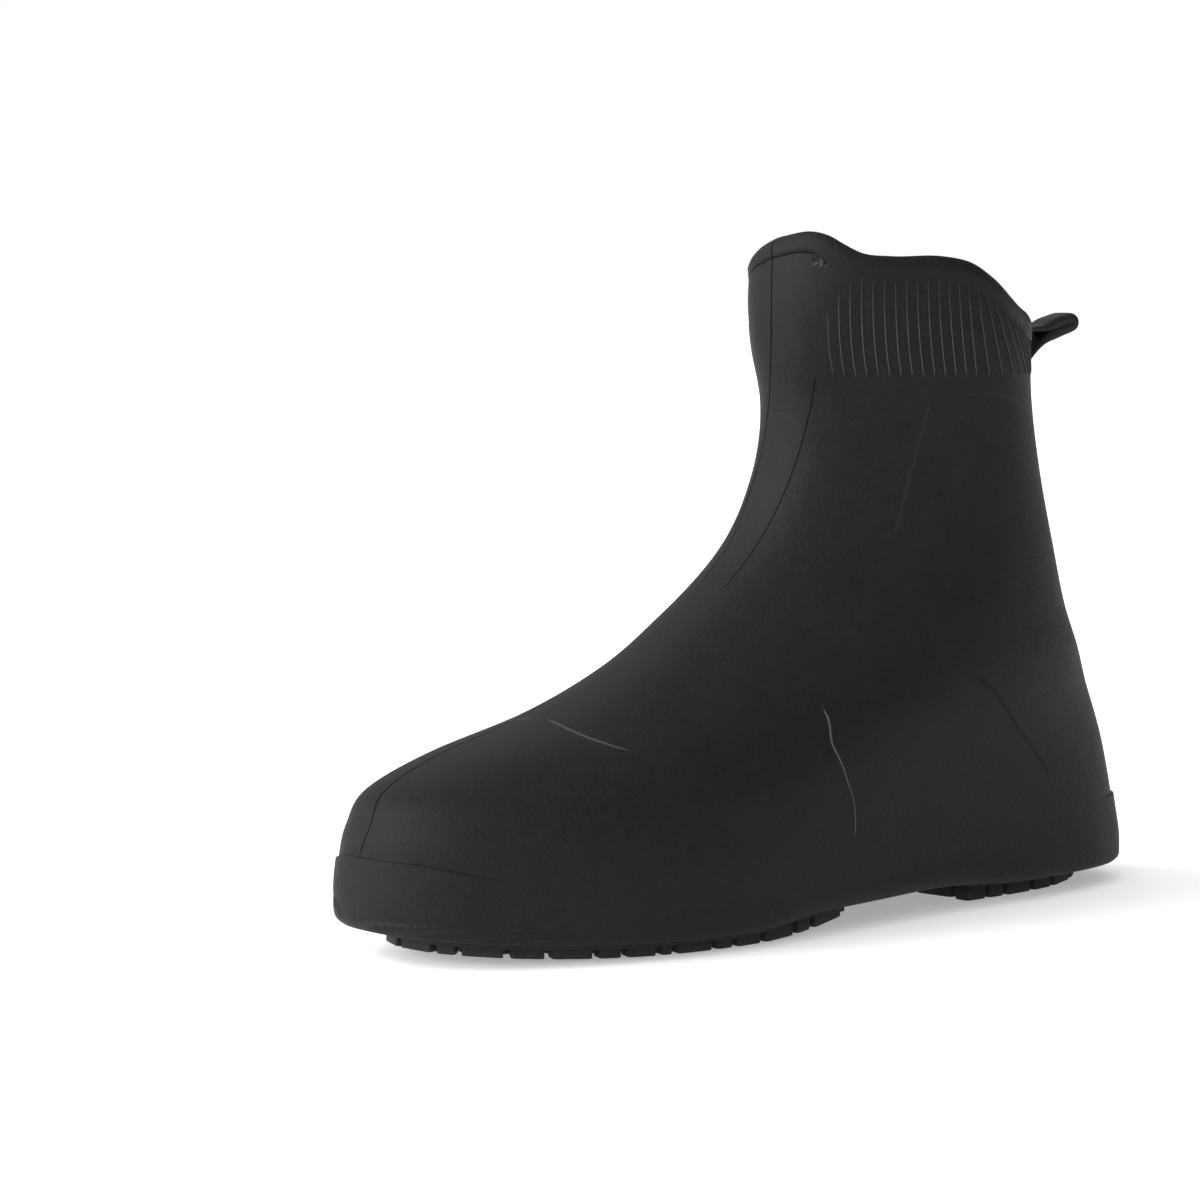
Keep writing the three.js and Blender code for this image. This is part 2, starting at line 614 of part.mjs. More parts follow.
// The pull loop: a flat strap that leaves the cuff, folds round a tight tip and comes back.
function pullLoop() {
  const upperLevel = shellTop(0) - LOOP_TOP_DROP;
  const root = (level) => facePoint(0, level).y + SEAT_GAP;
  const spots = LOOP_ROUTE.map(({ out, down }) => {
    const level = upperLevel - down * LOOP_SPAN;
    const from = THREE.MathUtils.lerp(root(upperLevel), root(upperLevel - LOOP_SPAN), THREE.MathUtils.clamp(down, 0, 1));
    return new THREE.Vector3(facePoint(0, level).x, from + out * LOOP_REACH, level);
  });
  const path = new THREE.CatmullRomCurve3(spots, false, "centripetal");
  const skin = new Skin();
  const edge = LOOP_THICKNESS / 4;
  const section = [
    { across: LOOP_WIDTH / 2, depth: LOOP_THICKNESS / 2 - edge },
    { across: LOOP_WIDTH / 2 - edge, depth: LOOP_THICKNESS / 2 },
    { across: edge - LOOP_WIDTH / 2, depth: LOOP_THICKNESS / 2 },
    { across: -LOOP_WIDTH / 2, depth: LOOP_THICKNESS / 2 - edge },
    { across: -LOOP_WIDTH / 2, depth: edge - LOOP_THICKNESS / 2 },
    { across: edge - LOOP_WIDTH / 2, depth: -LOOP_THICKNESS / 2 },
    { across: LOOP_WIDTH / 2 - edge, depth: -LOOP_THICKNESS / 2 },
    { across: LOOP_WIDTH / 2, depth: edge - LOOP_THICKNESS / 2 },
  ];
  const turns = section.map((_, i) => (2 * i) / section.length);
  const rings = Array.from({ length: LOOP_STEPS + 1 }, (_, i) => {
    const at = path.getPointAt(i / LOOP_STEPS);
    const tangent = path.getTangentAt(i / LOOP_STEPS);
    const ends = i === 0 || i === LOOP_STEPS;
    const side = ends ? new THREE.Vector3(0, 0, i === 0 ? 1 : -1) : new THREE.Vector3(0, -tangent.z, tangent.y);
    return skin.ring(turns, (turn) => {
      const { across, depth } = section[Math.round((turn * section.length) / 2)];
      return at.clone().addScaledVector(side, depth).add(new THREE.Vector3(across, 0, 0));
    });
  });
  rings.slice(1).forEach((ring, i) => skin.join(rings[i], ring));
  const count = section.length;
  for (let k = 1; k < count - 1; k += 1) {
    skin.faces.push([rings[0].first, rings[0].first + k, rings[0].first + k + 1]);
    const last = rings[LOOP_STEPS].first;
    skin.faces.push([last, last + k + 1, last + k]);
  }
  return skin.geometry();
}

function piece(name, geometry) {
  const mesh = new THREE.Mesh(geometry, rubber());
  mesh.name = name;
  return mesh;
}

const overshoe = new THREE.Group();
overshoe.add(
  piece("upper", upperShell()),
  piece("collar_band", collarBand()),
  piece("outsole_forefoot", tread(TREAD_PLANS.forefoot)),
  piece("outsole_heel", tread(TREAD_PLANS.heel)),
  piece("pull_loop", pullLoop()),
);

export default overshoe;
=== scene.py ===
# %% [markdown]
# # A pull-on rubber overshoe
# This lesson dresses one black rubber overshoe: a hollow moulded shell with a ribbed cuff, a thick band
# round a wavy mouth, cleated treads and a pull loop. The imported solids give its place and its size.
# Everything is worked out in millimetres, as its maker would, and turned into metres at the very end.

import math

import bpy
import numpy as np
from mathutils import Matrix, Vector


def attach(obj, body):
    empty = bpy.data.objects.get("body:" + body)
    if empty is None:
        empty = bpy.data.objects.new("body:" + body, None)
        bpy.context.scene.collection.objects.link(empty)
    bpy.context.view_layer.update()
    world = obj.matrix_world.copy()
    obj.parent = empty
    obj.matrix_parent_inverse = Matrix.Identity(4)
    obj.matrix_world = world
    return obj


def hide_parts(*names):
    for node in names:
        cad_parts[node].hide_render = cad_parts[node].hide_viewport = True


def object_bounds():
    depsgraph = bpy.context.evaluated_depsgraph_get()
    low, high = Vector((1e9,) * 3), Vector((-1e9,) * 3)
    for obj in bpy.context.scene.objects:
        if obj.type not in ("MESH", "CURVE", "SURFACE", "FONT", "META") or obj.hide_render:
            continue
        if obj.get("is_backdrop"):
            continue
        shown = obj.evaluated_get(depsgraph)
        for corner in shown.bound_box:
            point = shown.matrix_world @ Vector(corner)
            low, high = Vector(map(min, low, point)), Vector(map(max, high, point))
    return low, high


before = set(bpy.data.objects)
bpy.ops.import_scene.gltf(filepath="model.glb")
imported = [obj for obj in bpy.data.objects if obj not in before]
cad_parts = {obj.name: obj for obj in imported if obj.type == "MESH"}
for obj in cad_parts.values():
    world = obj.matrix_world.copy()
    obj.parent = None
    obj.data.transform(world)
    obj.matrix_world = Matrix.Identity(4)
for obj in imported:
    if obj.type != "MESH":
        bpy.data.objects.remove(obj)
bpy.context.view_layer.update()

# %% [markdown]
# ## The camera
# The photograph was taken from about the height of the mouth, a good metre away, with a long lens.
# A camera could be placed by eye, but this one was fitted to the outline, so it is given by numbers:
# where it stands, which way it looks and how long its lens is.

# %% The camera
CAMERA_PLACE = (0.8815, -0.7596, 0.2002)
CAMERA_HEADING = math.radians(51.81)
CAMERA_DIP = math.radians(4.77)
CAMERA_LENS, CAMERA_SENSOR = 107.3, 36


def add_object(name, data):
    """Makes an object and puts it into the scene."""
    made = bpy.data.objects.new(name, data)
    bpy.context.scene.collection.objects.link(made)
    return made


camera = add_object("camera", bpy.data.cameras.new("camera"))
bpy.context.scene.camera = camera
camera.data.sensor_width = CAMERA_SENSOR
camera.data.lens = CAMERA_LENS
camera.location = CAMERA_PLACE
camera.rotation_euler = (math.pi / 2 - CAMERA_DIP, 0, CAMERA_HEADING)
print("The camera stands", round(camera.location.length, 2), "m from the floor under the shoe's middle")

# %% [markdown]
# ## The shape as curves
# A rubber overshoe is dipped or moulded over a last, so its shape is a stack of smooth level sections.
# It could be sculpted, but a table of sections keeps the fine model on the same form as the solids.
# Each row gives, at one height, where the section ends at toe and heel and how wide it is in between.
# Heights are shares of the whole height, ends are shares of the length and widths of the width.

# %% Sizes and sections
LENGTH, WIDTH, HEIGHT = 310.0, 105.0, 223.0
WALL = 1.8
SOLE_LEVEL = 4.9
SOLE_THICKNESS = 4.0
TOE_IN, TOE_IN_BALANCE = 9.5, 0.115
TOE_SPRING, SPRING_START = 5.0, 0.706 * LENGTH
HEEL_LIFT, HEEL_LIFT_FROM, HEEL_LIFT_FULL = 2.8, 0.64 * LENGTH, 0.54 * LENGTH
HEEL_BACK_SHARE, HEEL_BACK_TO = 0.3, 0.3 * LENGTH
ARCH_LIFT, ARCH_PLACE, ARCH_REACH = 1.4, 0.32 * LENGTH, 0.09 * LENGTH
WAIST_DROP, WAIST_PLACE, WAIST_REACH = 1.7, 78.0, 30.0
LIFT_FADE_HEIGHT = 0.27 * HEIGHT
ROUNDING = 0.79
INSET_FROM, INSET_FULL = 0.25, 0.5

WIDTHS = ("heel", "waist", "ball", "toe")
SECTION_COLUMNS = ("height", "toe_end", "heel_end", *WIDTHS, "inset")
SECTION_ROWS = (
    (0.0225, 0.9915, 0.004, 0.46, 0.37, 0.502, 0.515, 0.13),
    (0.031, 0.995, 0.001, 0.48, 0.39, 0.514, 0.532, 0.1),
    (0.0405, 0.996, 0.002, 0.483, 0.405, 0.519, 0.538, 0.07),
    (0.063, 0.9965, 0.003, 0.487, 0.411, 0.526, 0.543, 0.03),
    (0.1165, 0.993, 0.0125, 0.49, 0.424, 0.533, 0.543, 0),
    (0.1705, 0.985, 0.0225, 0.491, 0.438, 0.524, 0.529, 0),
    (0.224, 0.962, 0.032, 0.481, 0.448, 0.505, 0.49, 0),
    (0.269, 0.894, 0.044, 0.471, 0.452, 0.476, 0.457, 0),
    (0.314, 0.788, 0.059, 0.461, 0.452, 0.449, 0.414, 0),
    (0.368, 0.696, 0.074, 0.45, 0.447, 0.41, 0.371, 0),
    (0.4395, 0.6145, 0.099, 0.43, 0.43, 0.378, 0.333, 0),
    (0.529, 0.539, 0.121, 0.408, 0.404, 0.335, 0.286, 0),
    (0.637, 0.492, 0.142, 0.384, 0.385, 0.311, 0.267, 0),
    (0.753, 0.4775, 0.158, 0.377, 0.378, 0.312, 0.267, 0),
    (0.8295, 0.487, 0.161, 0.374, 0.386, 0.327, 0.295, 0),
    (0.897, 0.4875, 0.1695, 0.367, 0.393, 0.343, 0.319, 0),
    (1, 0.474, 0.185, 0.362, 0.401, 0.36, 0.34, 0),
)
# Where along a section its four widths are taken, as shares from the heel.
STATIONS = np.array([0, 0.38, 0.72, 1])

# The rim's height at places round the mouth: 0 at the back, 1 at the front, outer side first.
RIM_TURNS = (0, 0.24, 0.33, 0.42, 0.49, 0.56, 0.68, 0.76, 0.81, 0.86,
             0.92, 0.98, 1.06, 1.16, 1.44, 1.51, 1.58, 1.67, 1.76, 2)
RIM_HEIGHTS = (0.88, 0.885, 0.903, 0.934, 0.955, 0.963, 0.963, 0.968, 0.98, 0.993,
               1, 0.997, 0.983, 0.966, 0.96, 0.953, 0.934, 0.903, 0.885, 0.88)


def smooth_through(places, values):
    """A smooth curve through values at places. Each value may be one number or a row of numbers."""
    places, values = np.asarray(places, float), np.asarray(values, float)
    gaps = np.diff(places).reshape((-1,) + (1,) * (values.ndim - 1))
    rise = np.diff(values, axis=0) / gaps
    middle = (rise[:-1] * gaps[1:] + rise[1:] * gaps[:-1]) / (gaps[1:] + gaps[:-1])
    slopes = np.concatenate([rise[:1], middle, rise[-1:]])

    def pick(rows, n):
        return np.take_along_axis(rows, n[None], 0)[0] if rows.ndim > 1 else rows[n]

    def read(at):
        at = np.clip(at, places[0], places[-1])
        k = np.clip(np.searchsorted(places, at, side="right") - 1, 0, len(places) - 2)
        step = places[k + 1] - places[k]
        u = (at - places[k]) / step
        return (
            (1 + 2 * u) * (1 - u) ** 2 * pick(values, k)
            + u * (1 - u) ** 2 * step * pick(slopes, k)
            + u * u * (3 - 2 * u) * pick(values, k + 1)
            + u * u * (u - 1) * step * pick(slopes, k + 1)
        )

    return read


def ramp(low, high, x):
    """0 below low, 1 above high and a smooth rise between them."""
    t = np.clip((np.asarray(x, float) - low) / (high - low), 0, 1)
    return t * t * (3 - 2 * t)


section_table = np.array(SECTION_ROWS)
section_curve = {
    name: smooth_through(section_table[:, 0], section_table[:, k])
    for k, name in enumerate(SECTION_COLUMNS)
    if k > 0
}
rim_curve = smooth_through(RIM_TURNS, RIM_HEIGHTS)
print("Sections:", len(SECTION_ROWS), "rim places:", len(RIM_TURNS))

# %% [markdown]
# ## Any point of the shell
# A point is named by its turn round the shoe and its level above the floor. The turn is 0 at the back
# of the heel, 1 at the tip of the toe and 2 at the heel again, so one grid covers the whole shell.
# The outward direction comes from two short steps on the surface, one round the shoe and one upwards.

# %% From turn and level to a point
def half_width(share, level, inner):
    """Half the section's width at a share of its length from the heel."""
    rows = np.stack([section_curve[name](level / HEIGHT) * WIDTH for name in WIDTHS])
    loss = np.where(inner, section_curve["inset"](level / HEIGHT) * ramp(INSET_FROM, INSET_FULL, share), 0)
    rounded = (2 * np.sqrt(np.clip(share * (1 - share), 0, None))) ** ROUNDING
    return rounded * smooth_through(STATIONS, rows)(share) * (1 - loss)


def section_ends(level):
    """Where the section at a level ends, in mm along the shoe: at the heel and at the toe."""
    return (section_curve[name](level / HEIGHT) * LENGTH for name in ("heel_end", "toe_end"))


def toe_in_at(along):
    return TOE_IN * np.clip(2 * along / LENGTH - 1, 0, 1) ** 2


def spring_at(along):
    return TOE_SPRING * np.clip((along - SPRING_START) / (LENGTH - SPRING_START), 0, 1) ** 2


def lift_at(along):
    """How far the sole is lifted from level: toe spring, heel and arch, less a drop behind the arch."""
    back = HEEL_BACK_SHARE + (1 - HEEL_BACK_SHARE) * ramp(0, HEEL_BACK_TO, along)
    heel = HEEL_LIFT * (1 - ramp(HEEL_LIFT_FULL, HEEL_LIFT_FROM, along)) * back
    arch = ARCH_LIFT * np.exp(-(((along - ARCH_PLACE) / ARCH_REACH) ** 2))
    waist = WAIST_DROP * np.exp(-(((along - WAIST_PLACE) / WAIST_REACH) ** 2))
    return spring_at(along) + heel + arch - waist


def to_frame(across, along, up):
    return np.stack(np.broadcast_arrays(across + TOE_IN * TOE_IN_BALANCE, LENGTH / 2 - along, up), -1)


def in_step(turn, level):
    """The turns and the levels as two flat rows of the same length."""
    return (a.ravel() for a in np.broadcast_arrays(np.asarray(turn, float), np.asarray(level, float)))


def face_point(turn, level):
    """Points of the shell's outer face, in millimetres, as one flat row."""
    turn, level = in_step(turn, level)
    turn = turn % 2
    share = (1 - np.cos(turn * math.pi)) / 2
    inner = turn > 1
    heel_end, toe_end = section_ends(level)
    along = heel_end + (toe_end - heel_end) * share
    across = half_width(share, level, inner) * np.where(inner, -1, 1) - toe_in_at(along)
    fade = np.clip(1 - (level - SOLE_LEVEL) / LIFT_FADE_HEIGHT, 0, 1)
    return to_frame(across, along, level + lift_at(along) * fade)


NORMAL_TURN, NORMAL_RISE = 0.004, 1.0


def face_normal(turn, level):
    """The outward direction of the face there, from a short step round and a short step up."""
    turn, level = in_step(turn, level)
    low = np.clip(level - NORMAL_RISE / 2, SOLE_LEVEL, HEIGHT - NORMAL_RISE)
    round_step = face_point(turn + NORMAL_TURN, level) - face_point(turn - NORMAL_TURN, level)
    up_step = face_point(turn, low + NORMAL_RISE) - face_point(turn, low)
    normal = np.cross(up_step, round_step)
    return normal / np.linalg.norm(normal, axis=1, keepdims=True)


def raised(turn, level, height):
    """A grid of points that stand off the face by a height, or are sunk where it is negative."""
    shape = np.broadcast(turn, level).shape
    height = np.broadcast_to(np.asarray(height, float), shape).ravel()
    return (face_point(turn, level) + face_normal(turn, level) * height[:, None]).reshape(shape + (3,))


def rim_level(turn):
    return rim_curve(np.asarray(turn, float) % 2) * HEIGHT


toe_tip = face_point([1.0], [30.0])[0]
print("The toe tip, mm:", np.round(toe_tip, 1))

# %% [markdown]
# ## Distances round the shoe
# A patch on the rubber, such as a flaw beside the seam, is easiest to place in millimetres. So every
# point of the outer rubber also gets its distance from the front, round the shoe along its own row.

# %% Distance from the front
AROUND = np.linspace(0, 2, 1441)


def run_along(points):
    """How far along a row of points each one is."""
    return np.concatenate([[0], np.cumsum(np.linalg.norm(np.diff(points, axis=0), axis=1))])


def distance_round(points):
    """How far each point of a grid is from the grid's middle column, which is the front, along its row."""
    steps = np.linalg.norm(np.diff(points, axis=1), axis=2)
    run = np.concatenate([np.zeros((len(points), 1)), np.cumsum(steps, axis=1)], axis=1)
    middle = points.shape[1] // 2
    return run[:, middle : middle + 1] - run


CUFF_MIDDLE = 200.0
cuff = distance_round(face_point(AROUND, CUFF_MIDDLE)[None])
print("Half way round the cuff, mm:", round(float(cuff[0, 0]), 1))

# %% [markdown]
# ## The lines on the shell
# The shell shows a seam down its front, a panel line beside it and a few creases left by the last and by
# the packing. They are thinner than the mesh is fine, so the finish draws them. It could follow painted
# curves, but here each point of the mesh carries its distance from each line, and the finish only asks
# how small that is. Each line is a few places, as turn and level, read off the real shape.

# %% Lines, as turns and levels
SEAM = ((1.02, 234), (1.015, 223), (1.014, 219), (1.008, 211), (1.002, 203), (1, 194), (1.006, 181),
        (1.026, 172), (1.048, 162), (1.061, 150), (1.068, 140), (1.081, 129), (1.102, 119), (1.11, 108),
        (1.11, 92), (1.08, 75), (1.03, 60), (1, 47), (1, 30), (1, 28.5))
PANEL = ((0.864, 178), (0.873, 174), (0.887, 166.8), (0.904, 157.8), (0.919, 148.8),
         (0.931, 139.3), (0.942, 130.5), (0.952, 121.5), (0.957, 113.6), (0.959, 107))
CREASE = ((0.624, 74.2), (0.572, 64.4), (0.531, 55), (0.509, 45.5), (0.502, 36), (0.502, 28))
HOLLOW = ((0.447, 79.9), (0.406, 74), (0.349, 63), (0.308, 52.8), (0.284, 44.2), (0.274, 37.5))
RIDGE = ((0.995, 70.7), (0.94, 69.4), (0.88, 67.6), (0.82, 65.4), (0.76, 62.8))
FAINT = ((0.585, 170), (0.602, 160), (0.616, 151), (0.629, 140), (0.638, 124))
ARC = ((0.47, 169), (0.431, 169), (0.364, 167), (0.266, 162), (0.22, 159))

# The painted shade under the band's step is drawn this far below the rim, between these turns.
STEP_DOWN = 6.9
STEP_TURNS = np.linspace(0.87, 1.2, 12)
STEP = tuple((turn, float(rim_level(turn)) - STEP_DOWN) for turn in STEP_TURNS)


def mirrored(rows):
    return tuple((2 - turn, level) for turn, level in rows)


# Lines that run up the shoe are read by level, and lines that run round it by turn.
LINES = {
    "seam": ("up", SEAM),
    "panel": ("up", PANEL),
    "panel_inner": ("up", mirrored(PANEL)),
    "crease": ("up", CREASE),
    "hollow": ("up", HOLLOW),
    "ridge": ("round", RIDGE),
    "ridge_inner": ("round", mirrored(RIDGE)),
    "faint": ("up", FAINT),
    "faint_inner": ("up", mirrored(FAINT)),
    "arc": ("round", ARC),
    "band_step": ("round", STEP),
}
LINE_NAMES = tuple(LINES)
print("Lines:", ", ".join(LINE_NAMES))

# %% How far a point is from a line
# The offset of a point that is on no line, the share of a line over which its ends thin out, and the
# most that this share may come to, in mm or turns. The last two are the steps that slopes are read over.
NO_LINE = 900.0
LINE_FADE, LONGEST_FADE = 0.14, 4.0
SLOPE_SHARE, SPEED_TURN = 0.01, 0.002


def line_offset(name, turn, level):
    """Millimetres across the line to each point, growing towards its ends, where the line thins out."""
    runs, rows = LINES[name]
    line_turns, line_levels = np.array(rows).T
    keys, values = (line_levels, line_turns) if runs == "up" else (line_turns, line_levels)
    order = np.argsort(keys)
    keys, middle = keys[order], smooth_through(keys[order], values[order])
    at = level if runs == "up" else turn
    step = SLOPE_SHARE * (keys[-1] - keys[0])
    slope = (middle(at + step) - middle(at - step)) / (2 * step)
    round_step = face_point(turn + SPEED_TURN, level) - face_point(turn - SPEED_TURN, level)
    speed = (np.linalg.norm(round_step, axis=1) / (2 * SPEED_TURN)).reshape(turn.shape)
    if runs == "up":
        off = (turn - middle(at)) * speed / np.hypot(1, slope * speed)
    else:
        off = (level - middle(at)) / np.hypot(1, slope / speed)
    fade = min(LINE_FADE * (keys[-1] - keys[0]), LONGEST_FADE)
    shown = ramp(keys[0], keys[0] + fade, at) * (1 - ramp(keys[-1] - fade, keys[-1], at))
    return np.clip(off / np.maximum(shown, 0.001), -NO_LINE, NO_LINE)


def line_offsets(turn, level):
    return np.stack([line_offset(name, turn, level) for name in LINE_NAMES], -1)


beside_seam = line_offset("seam", np.array([1.0]), np.array([100.0]))
print("From the seam to the middle of the front at 100 mm, mm:", np.round(beside_seam, 1))

# %% [markdown]
# ## Building meshes from rings
# All the rubber pieces are strips of quads between rows of points. A small helper collects the rows,
# the faces and some numbers for each point: its distance round, its level, how pale it is painted, for
# rubbing and as a painted highlight, and how far it is from each line. The finish reads those numbers
# later, so nothing has to be unwrapped by hand.

# %% The mesh helper
def notes_of(level, paleness):
    """The three numbers of points that are far from the flaws: no distance round, level and paleness,
    painted for rubbing and as highlights.
    """
    return np.stack([np.full(level.shape, NO_LINE), level, paleness], -1)


class Rubber:
    """Collects grids of points, in millimetres, into one mesh."""

    def __init__(self):
        self.points, self.notes, self.lines, self.faces, self.count = [], [], [], [], 0

    def grid(self, points, notes=None, lines=None, closed=False, flip=False):
        """Adds a grid of points, rows by columns, and returns its numbers as a grid."""
        points = np.asarray(points, float)
        rows, columns = points.shape[:2]
        total = rows * columns
        index = self.count + np.arange(total).reshape(rows, columns)
        beside = np.roll(index, -1, 1) if closed else index[:, 1:]
        near = index if closed else index[:, :-1]
        quads = np.stack([near[:-1], beside[:-1], beside[1:], near[1:]], -1).reshape(-1, 4)
        self.faces.extend((quads[:, ::-1] if flip else quads).tolist())
        self.points.append(points.reshape(-1, 3))
        self.notes.append(np.zeros((total, 3)) if notes is None else np.asarray(notes).reshape(-1, 3))
        none = np.full((total, len(LINE_NAMES)), NO_LINE)
        self.lines.append(none if lines is None else np.asarray(lines).reshape(total, -1))
        self.count += total
        return index

    def polygon(self, index, flip=False):
        """Adds one face."""
        self.faces.append([int(i) for i in (index[::-1] if flip else index)])

    def bridge(self, one, two, flip=False):
        """Joins two closed rows with the same number of points."""
        for a, b, c, d in zip(one, np.roll(one, -1), np.roll(two, -1), two):
            self.polygon([a, b, c, d], flip)

    def across(self, ring, flip=False):
        """Closes a ring by strips from one side of the foot to the other."""
        half = len(ring) // 2
        for i in range(half):
            strip = [ring[i], ring[(i + 1) % len(ring)], ring[-i - 1], ring[-i % len(ring)]]
            kept = list(dict.fromkeys(strip))
            if len(kept) > 2:
                self.polygon(kept, flip)

    def piece(self, name, finish):
        """Makes the object, in metres, smooth shaded and riding on the overshoe's one body."""
        mesh = bpy.data.meshes.new(name)
        mesh.from_pydata((np.concatenate(self.points) / 1000).tolist(), [], self.faces)
        notes = mesh.attributes.new("place", "FLOAT_VECTOR", "POINT")
        notes.data.foreach_set("vector", np.concatenate(self.notes).astype(np.float32).ravel())
        for line_name, offsets in zip(LINE_NAMES, np.concatenate(self.lines).astype(np.float32).T):
            if np.abs(offsets).min() < NO_LINE:
                line = mesh.attributes.new("from_" + line_name, "FLOAT", "POINT")
                line.data.foreach_set("value", offsets)
        mesh.shade_smooth()
        mesh.materials.append(finish)
        made = add_object(name, mesh)
        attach(made, "root")
        triangles = sum(len(face) - 2 for face in self.faces)
        print(f"{name}: {triangles} triangles")
        return made


print("Numbers for each point: distance round, level, wear and", len(LINE_NAMES), "line distances")

# %% [markdown]
# ## Writing finishes as sums
# A finish is a small graph of nodes, and so is the sky. Wiring them by hand hides the idea, so one class
# wraps a socket and turns Python's own + - * / into Math nodes, and one method makes every other node.

# %% Shader maths
class Wire:
    """A socket that can be added, subtracted, multiplied and divided."""

    def __init__(self, graph, socket):
        self.graph, self.socket = graph, socket

    def maths(self, operation, *inputs):
        return self.graph.node("ShaderNodeMath", {"operation": operation}, dict(enumerate(inputs)))

    def __add__(self, other):
        return self.maths("ADD", self, other)

    def __radd__(self, other):
        return self.maths("ADD", other, self)

    def __sub__(self, other):
        return self.maths("SUBTRACT", self, other)

    def __rsub__(self, other):
        return self.maths("SUBTRACT", other, self)

    def __mul__(self, other):
        return self.maths("MULTIPLY", self, other)

    def __rmul__(self, other):
        return self.maths("MULTIPLY", other, self)

    def __truediv__(self, other):
        return self.maths("DIVIDE", self, other)

    def __abs__(self):
        return self.maths("ABSOLUTE", self)


class Graph:
    """A tree of nodes."""

    def __init__(self, owner):
        owner.use_nodes = True
        self.tree = owner.node_tree

    def node(self, kind, settings=None, inputs=None, output=0):
        """Makes a node: first its settings, then the values or wires of its inputs."""
        made = self.tree.nodes.new(kind)
        for key, value in (settings or {}).items():
            setattr(made, key, value)
        for key, value in (inputs or {}).items():
            if isinstance(value, Wire):
                self.tree.links.new(value.socket, made.inputs[key])
            else:
                made.inputs[key].default_value = value
        return Wire(self, made.outputs[output])


# The black of the painted shade in grooves and in the flaws' pits.
GROOVE_BLACK = (0.001, 0.001, 0.001, 1)


class Finish(Graph):
    """A material that is built up node by node."""

    def __init__(self, name):
        self.material = bpy.data.materials.new(name)
        super().__init__(self.material)
        self.shader = self.tree.nodes["Principled BSDF"]
        self.numbers = None

    def set(self, **values):
        """Sets the shader's own sockets, by wire or by value; an underscore stands for a space."""
        for key, value in values.items():
            socket = self.shader.inputs[key.replace("_", " ")]
            if isinstance(value, Wire):
                self.tree.links.new(value.socket, socket)
            else:
                socket.default_value = value

    def step(self, value, low, high):
        """0 where the value is below low, 1 above high, and a smooth rise between them."""
        settings = {"interpolation_type": "SMOOTHSTEP"}
        return self.node("ShaderNodeMapRange", settings, {"Value": value, "From Min": low, "From Max": high})

    def noise(self, size, detail, roughness):
        """Even noise with features of about a size in millimetres, from 0 to 1."""
        where = self.node("ShaderNodeTexCoord", output="Object")
        settings = {"noise_dimensions": "3D"}
        values = {"Vector": where, "Scale": 1000 / size, "Detail": detail, "Roughness": roughness}
        return self.node("ShaderNodeTexNoise", settings, values, output="Fac")

    def place(self):
        """The three numbers of each point: distance round, level and paleness, painted for rubbing and as
        highlights.
        """
        if self.numbers is None:
            notes = self.node("ShaderNodeAttribute", {"attribute_name": "place"}, output="Vector")
            split = self.node("ShaderNodeSeparateXYZ", None, {0: notes}).socket.node
            self.numbers = [Wire(self, split.outputs[k]) for k in range(3)]
        return self.numbers

    def line(self, name, width, soft):
        """1 on a line of the shell, falling to 0 past its width."""
        off = abs(self.node("ShaderNodeAttribute", {"attribute_name": "from_" + name}, output="Fac"))
        return 1 - self.step(off, width / 2, width / 2 + soft)

    def grooved(self, mask):
        """Paints shade where the mask is 1: almost no light gets out of the surface, as from a deep narrow
        groove.
        """
        values = {"Base Color": GROOVE_BLACK, "Roughness": 1.0, "Specular IOR Level": 0.0}
        groove = self.node("ShaderNodeBsdfPrincipled", None, values)
        rubber = Wire(self, self.shader.outputs[0])
        mixed = self.node("ShaderNodeMixShader", None, {0: mask, 1: rubber, 2: groove})
        self.tree.links.new(mixed.socket, self.tree.nodes["Material Output"].inputs["Surface"])


print("Shader maths ready")

# %% [markdown]
# ## The rubber
# The real shell is satin black rubber: nearly black, a little dusty, with a grain too fine to count and
# soft darker and paler clouds. One function makes all its finishes, because they differ only in how dark
# and how rough they are and in which lines they show. The rib crests are painted paler for rubbing and as
# a painted highlight, and creases and ridges as a painted highlight along each fold. A seam is a deep
# groove that lets next to no light out, so painted shade is laid along it by mixing in a black shader.

# %% Where the moulding flaws are
# The patch of flaws: its edges round the shoe and up it in mm, and how softly it begins and ends.
FLAWS_AROUND, FLAWS_LEVELS = (13.0, 27.0), (210.5, 217.5)
FLAWS_SOFT_AROUND, FLAWS_SOFT_UP = 3.0, 2.0


def flaw_zone(finish):
    """1 in the small patch beside the front seam where the rubber flowed badly in its mould."""
    around, level, _ = finish.place()
    left, right = FLAWS_AROUND
    low, high = FLAWS_LEVELS
    begins = finish.step(around, left, left + FLAWS_SOFT_AROUND)
    beside = begins * (1 - finish.step(around, right - FLAWS_SOFT_AROUND, right))
    above = finish.step(level, low, low + FLAWS_SOFT_UP)
    return beside * above * (1 - finish.step(level, high - FLAWS_SOFT_UP, high))


print("Flaws from", FLAWS_AROUND[0], "to", FLAWS_AROUND[1], "mm beside the middle of the front")

# %% The recipe of the rubbers
# How much light comes straight back off the rubber. Usual plastics have 0.5.
SPECULAR = 0.08
# How many times paler than the plain rubber its palest places are.
PALEST = 12.0
# The sizes in mm, detail and roughness of the clouds, mottles, specks, grain and flecks.
CLOUD, MOTTLE, SPECK = (38, 4, 0.55), (5.5, 3, 0.6), (1.1, 2, 0.7)
GRAIN, FLECK = (0.45, 2, 0.6), (1.3, 2, 0.6)
# Above and below these values of its noise a flaw shows as a pale fleck or as a pit.
FLECK_PALE, FLECK_PIT = (0.56, 0.64), (0.38, 0.44)


